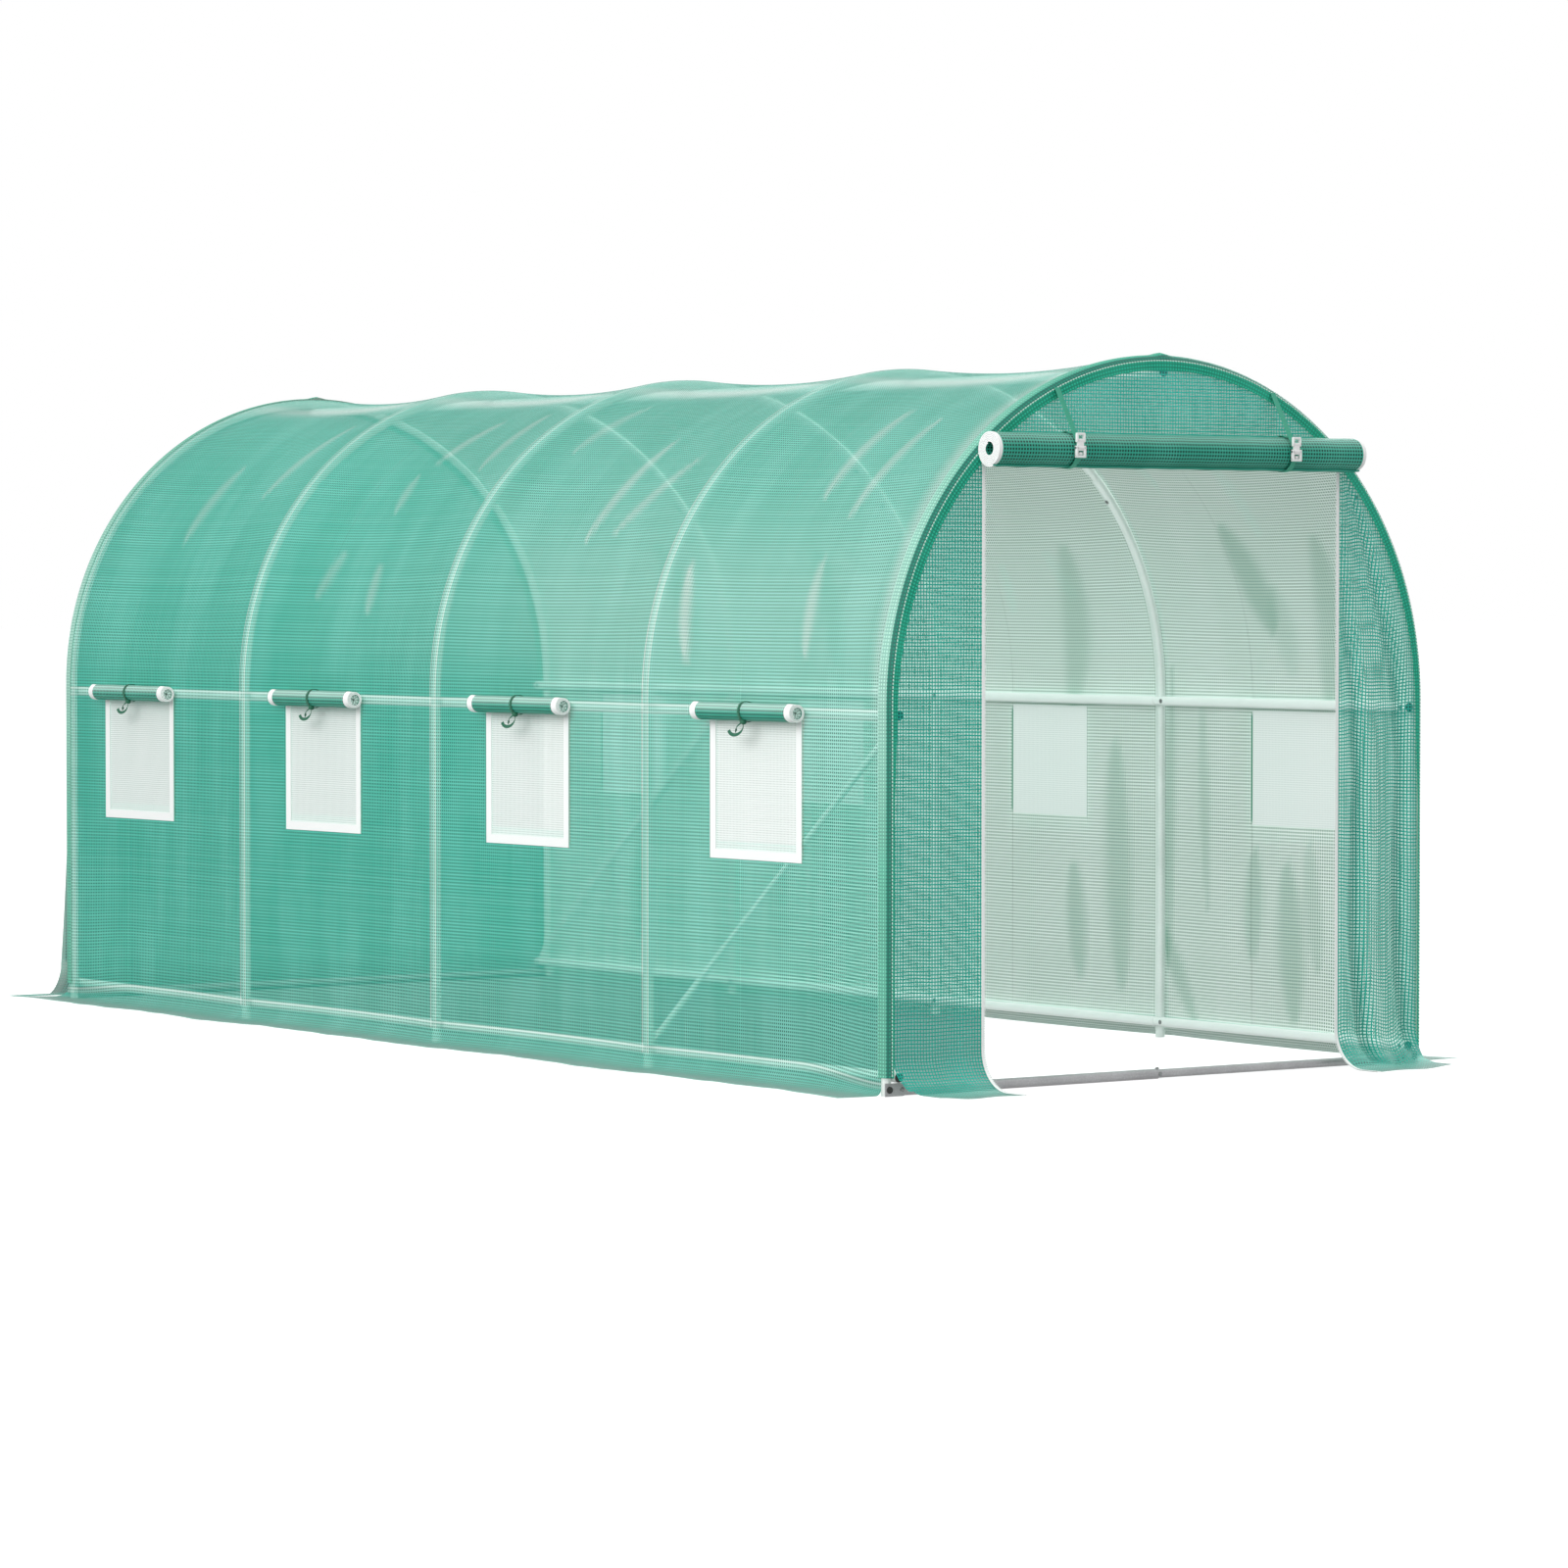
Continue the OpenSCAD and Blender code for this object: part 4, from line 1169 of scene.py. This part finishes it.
def wound(stations, outer_r, core_r, turns, thick, start, wobble, sunk_r=0.0, sunk=0.0):
    """A strip wound from its loose edge inwards, along the stations, its turns inside a radius sunk from
    the ends by a share: points, cloth, side and end faces, the outer turn, the core and the wound length."""
    per_turn = 30
    count = int(turns * per_turn) + 1
    turn = start + np.linspace(0, 2 * math.pi * turns, count)
    middle = np.linspace(outer_r - thick / 2, core_r + thick / 2, count)
    run = np.concatenate([[0], np.cumsum(middle[1:] * np.diff(turn))])
    points, cloth, faces, end_faces = [], [], [], []
    for k, along in enumerate(stations):
        shake = wobble * math.sin(9.0 * along + 1.3 * k)
        place_along = along * np.where(middle < sunk_r, 1 - sunk, 1.0)
        for way in (1, -1):
            radius = middle + way * thick / 2 + shake
            points.append(np.stack([place_along, radius * np.cos(turn), radius * np.sin(turn)], -1))
            cloth.append(np.stack([np.full(count, along), run], -1))
    ring_size = 2 * count
    for k in range(len(stations) - 1):
        a = k * ring_size
        b = a + ring_size
        for j in range(count - 1):
            faces.append((a + j, a + j + 1, b + j + 1, b + j))
            faces.append((a + count + j + 1, a + count + j, b + count + j, b + count + j + 1))
        faces.append((a, b, b + count, a + count))
        faces.append((a + count - 1, a + ring_size - 1, b + ring_size - 1, b + count - 1))
    last = (len(stations) - 1) * ring_size
    for j in range(count - 1):
        end_faces.append((j, count + j, count + j + 1, j + 1))
        end_faces.append((last + j, last + j + 1, last + count + j + 1, last + count + j))
    return {
        "points": np.concatenate(points), "cloth": np.concatenate(cloth), "sides": faces, "ends": end_faces,
        "outermost": np.tile(np.append(np.arange(count) <= per_turn, [False] * count), len(stations)),
        "core": np.tile(np.tile(middle < sunk_r, 2), len(stations)), "length": run[-1],
    }


def roll_piece(name, roll, points, tape_beyond, turned_over, lit_side, shine):
    """One wound roll, with white tape on its outer turn past a length from its middle and on its end turns.
    Its core is painted pale, as painted light, and its turns get a painted highlight where they face one
    side across the roll."""
    faces, white = [], []
    for kind in ("sides", "ends"):
        for face in roll[kind]:
            corners = list(face)
            beyond = abs(roll["cloth"][corners, 0].mean()) > tape_beyond
            taped = roll["outermost"][corners].all() if kind == "sides" else not roll["core"][corners].any()
            faces.append(face[::-1] if turned_over else face)
            white.append(bool(beyond and taped))
    mesh = bpy.data.meshes.new(name)
    mesh.from_pydata(points.tolist(), [], faces)
    layer = mesh.uv_layers.new(name="cloth")
    order = np.array(faces).ravel()
    layer.data.foreach_set("uv", roll["cloth"][order].astype(np.float32).ravel())
    gleam = mesh.attributes.new("painted_sheen", "FLOAT", "POINT")
    section = roll["points"][:, 1:]
    facing = section @ np.array(lit_side) / np.linalg.norm(section, axis=1)
    shown = np.where(roll["core"], 1.0, shine * np.clip(facing, 0, 1) ** 8)
    gleam.data.foreach_set("value", shown.astype(np.float32))
    mesh.materials.append(roll_finish)
    mesh.materials.append(white_tape)
    mesh.polygons.foreach_set("material_index", np.array(white, np.int32))
    mesh.shade_smooth()
    mesh.set_sharp_from_angle(angle=math.radians(40))
    return fixed_piece(name, mesh)


roll_low, roll_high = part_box("window_roll_ends")
window_roll_r = (roll_high.z - roll_low.z) / 2
window_roll_z = (roll_high.z + roll_low.z) / 2
window_roll_x = roll_high.x - window_roll_r
flap_w, flap_length, flap_t = 0.475, 0.47, 0.0036
flap_turns, flap_core_r = 5.0, 0.003
window_roll_half = flap_w / 2
tape_fit = 0.001
hem_share = 1 - border_w / window_roll_half
stations = np.array([-1, -0.995, *np.linspace(-hem_share, hem_share, 12), 0.995, 1]) * window_roll_half
for side, wall in ((-1, "left"), (1, "right")):
    roll = wound(
        stations, window_roll_r, flap_core_r, flap_turns, flap_t,
        math.radians(115 if side < 0 else 65), 0.0003, sunk_r=window_roll_r * 0.58, sunk=0.016,
    )
    for number, middle in enumerate(window_ys[side], 1):
        placed = roll["points"][:, [1, 0, 2]] + np.array([side * window_roll_x, middle, window_roll_z])
        piece = roll_piece(
            f"{wall}_window_roll_{number}", roll, placed,
            window_roll_half - border_w - tape_fit, True, (0.80 * side, 0.60), 0.55,
        )
        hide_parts("window_rolls", "window_roll_ends")

door_low, door_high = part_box("door_roll")
door_roll_r = (door_high.z - door_low.z) / 2
door_roll_z = (door_high.z + door_low.z) / 2
door_roll_y = (door_high.y + door_low.y) / 2
door_half = door_high.x
door_hem, door_t = 0.012, 0.0040
door_turns, door_core_r = 6.5, 0.015
door_share = 1 - door_hem / door_half
stations = np.array([-1, -0.997, *np.linspace(-door_share, door_share, 40), 0.997, 1]) * door_half
roll = wound(stations, door_roll_r, door_core_r, door_turns, door_t, math.radians(250), 0.0006)
placed = roll["points"] + np.array([0, door_roll_y, door_roll_z])
door = roll_piece(
    "door_flap_roll", roll, placed,
    door_half - door_hem - tape_fit, False, (-0.55, 0.83), 0.20,
)
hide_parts("door_roll")


# Window ribbons: narrow green tape tied round the middle of each roll, with a flat knot
# under it and two loose tails.
ribbon_finish = two_tone_finish(
    "ribbon_green", "Wave", {"Scale": 170.0, "Distortion": 1.0},
    ((0.003, 0.07, 0.035, 1), (0.012, 0.17, 0.09, 1)), (0.55, 0.75), (0.3, 0.0006),
    bands_direction="DIAGONAL",
)
ribbon_w, ribbon_t, ribbon_slant = 0.011, 0.0016, 0.002
tail_t, tail_lift = 0.0012, 0.008
loop_r = window_roll_r + 0.75 * ribbon_t
knot_profile = [
    (-0.010, 0.002), (-0.008, 0.0065), (-0.002, 0.0085), (0.004, 0.008), (0.009, 0.006), (0.011, 0.002),
]
short_tail = ((0, 0), (0.012, -0.010), (0.024, -0.019), (0.033, -0.028))
long_tail = ((0, 0), (-0.009, -0.018), (0.004, -0.033), (0.030, -0.039), (0.054, -0.035), (0.070, -0.024))
ribbons = []
for side in (-1, 1):
    for middle in window_ys[side]:
        centre = np.array([side * window_roll_x, middle, window_roll_z])
        turns = np.linspace(0, 2 * math.pi, 41)
        round_x, round_z = loop_r * np.cos(turns), loop_r * np.sin(turns)
        loop = np.stack([centre[0] + round_x, middle + ribbon_slant * np.sin(turns), centre[2] + round_z], -1)
        ribbons.append(swept_solid(loop, strip(ribbon_w, ribbon_t), (0, 1, 0)))
        knot = centre + np.array([side * loop_r * 0.45, -ribbon_slant, -loop_r * 0.93])
        ribbons.append(turned(knot_profile, knot, (0, 1, 0.25), 12))
        for route, wide in ((short_tail, ribbon_w), (long_tail, ribbon_w - 0.001)):
            corners = np.array(route)
            s = np.linspace(0, len(corners) - 1, 22)
            smooth = [np.interp(s, np.arange(len(corners)), corners[:, k]) for k in (0, 1)]
            smooth = [np.convolve(np.pad(v, 2, "edge"), np.ones(5) / 5, "valid") for v in smooth]
            lift = tail_lift * np.sin(math.pi * s / s[-1])
            tail = np.stack([knot[0] + side * lift, knot[1] + smooth[0], knot[2] + smooth[1]], -1)
            lie = np.gradient(tail, axis=0)[:, [0, 2, 1]] * np.array([0, -1, 1])
            ribbons.append(swept_solid(tail, strip(wide, tail_t), lie + np.array([0.002, 0, 0])))
ties = solid_piece("window_ribbons", ribbons, ribbon_finish)
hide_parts("window_ties")


# Door straps: two lengths of green webbing, sewn to the front sleeve, that come down over
# the front of the rolled door and go round it.
strap_finish = two_tone_finish(
    "strap_webbing", "Wave", {"Scale": 240.0, "Distortion": 0.4},
    ((0.008, 0.24, 0.14, 1), (0.06, 0.46, 0.31, 1)), (0.5, 0.7), (0.35, 0.0006),
    bands_direction="Z",
)
strap_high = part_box("door_straps")[1]
strap_w, strap_t = 0.018, 0.0018
strap_clear, wrap_clear = 0.001, 0.0015
strap_x = strap_high.x - strap_w / 2
wrap_r = door_roll_r + wrap_clear
anchor = np.array([-(half_l + sleeve_deep + strap_clear), strap_high.z])
axis_point = np.array([door_roll_y, door_roll_z])
to_anchor = anchor - axis_point
reach_out = np.linalg.norm(to_anchor)
bearing = math.atan2(to_anchor[1], to_anchor[0])
touch = bearing + math.acos(wrap_r / reach_out)
meets = axis_point + wrap_r * np.array([math.cos(touch), math.sin(touch)])
down = [anchor + (meets - anchor) * s for s in np.linspace(0, 1, 12)[:-1]]
round_it = [
    axis_point + wrap_r * np.array([math.cos(t), math.sin(t)])
    for t in np.linspace(touch, touch + math.radians(330), 60)
]
straps = []
for side in (-1, 1):
    path = np.array([(side * strap_x, y, z) for y, z in down + round_it])
    straps.append(swept_solid(path, strip(strap_w, strap_t), (1, 0, 0)))
straps_piece = solid_piece("door_strap_webbing", straps, strap_finish)
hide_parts("door_straps")


# Buckles: white side-release buckles of moulded plastic on the straps, in front of the roll,
# each built up of bars round its openings.
buckle_finish = two_tone_finish(
    "buckle_white", "Noise", {"Scale": 160.0, "Detail": 4.0},
    ((0.80, 0.83, 0.82, 1), (0.95, 0.96, 0.95, 1)), (0.28, 0.45), (0.08, 0.0004),
)


def eased_bar(low, high, ease):
    """A straight bar with its edges along the three ways eased: vertices and faces."""
    low, high = np.array(low, float), np.array(high, float)
    centre, half = (low + high) / 2, (high - low) / 2
    flat = 1 - ease
    outline = [
        (1, flat), (flat, 1), (-flat, 1), (-1, flat), (-1, -flat), (-flat, -1), (flat, -1), (1, -flat),
    ]
    verts = []
    for depth, shrink in ((-1, flat), (-flat, 1.0), (flat, 1.0), (1, flat)):
        verts += [tuple(centre + half * np.array([x * shrink, depth, z * shrink])) for x, z in outline]
    faces = [tuple(range(8)), tuple(range(31, 23, -1))]
    for row in range(3):
        for k in range(8):
            a, b = row * 8 + k, row * 8 + (k + 1) % 8
            faces.append((a, a + 8, b + 8, b))
    return verts, faces


buckle_h, buckle_w, buckle_t = 0.068, 0.034, 0.009
buckle_clear, buckle_rise = 0.0026, 0.012
buckle_y = door_roll_y - door_roll_r - buckle_clear
buckle_z = door_roll_z + buckle_rise
bars = []
for side in (-1, 1):
    x0 = side * strap_x
    for left, right, low, high, deep in (
        (-0.50, 0.50, -0.50, -0.40, 1.0), (-0.50, 0.50, -0.16, -0.04, 1.0),
        (-0.50, -0.30, -0.48, -0.02, 1.0), (0.30, 0.50, -0.48, -0.02, 1.0),
        (-0.30, 0.30, -0.22, 0.26, 0.85), (-0.44, -0.26, 0.12, 0.46, 0.9), (0.26, 0.44, 0.12, 0.46, 0.9),
        (-0.42, 0.42, 0.40, 0.50, 0.9), (-0.40, 0.40, 0.14, 0.24, 0.9), (-0.16, 0.16, -0.38, -0.28, 0.7),
    ):
        bars.append(
            eased_bar(
                (x0 + left * buckle_w, buckle_y - buckle_t * deep, buckle_z + low * buckle_h),
                (x0 + right * buckle_w, buckle_y, buckle_z + high * buckle_h),
                0.22,
            )
        )
buckles = solid_piece("door_strap_buckles", bars, buckle_finish, 50.0)
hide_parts("door_buckles")


# Door zips: white tape sewn up both edges of the doorway and out along the ground flaps,
# with a row of moulded teeth on its free edge.
zip_w, zip_t, zip_clear, zip_lap = 0.009, 0.0012, 0.0022, 0.001
tooth_step, tooth_inset = 0.0065, 0.005
tooth_half = np.array([0.0022, 0.0014, 0.0019])
zip_parts = []
teeth = []
out, height, run = flare_profile(door_roll_z - door_roll_r * 0.6, 72)
for side in (-1, 1):
    edge = np.full_like(out, side * (door_x + zip_lap))
    path = np.stack([edge, panel_y - out - zip_clear, height + zip_lap], -1)
    zip_parts.append(swept_solid(path, strip(zip_w, zip_t), (1, 0, 0)))
    for k in range(int(run[-1] / tooth_step)):
        s = (k + 0.5) * tooth_step
        spot = np.array([np.interp(s, run, path[:, i]) for i in range(3)])
        spot[0] = side * (door_x - tooth_inset)
        teeth.append(eased_bar(spot - tooth_half, spot + tooth_half, 0.3))
zips = solid_piece("door_zip_tapes", zip_parts, white_tape)
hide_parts("door_zips")
solid_piece("door_zip_teeth", teeth, buckle_finish)
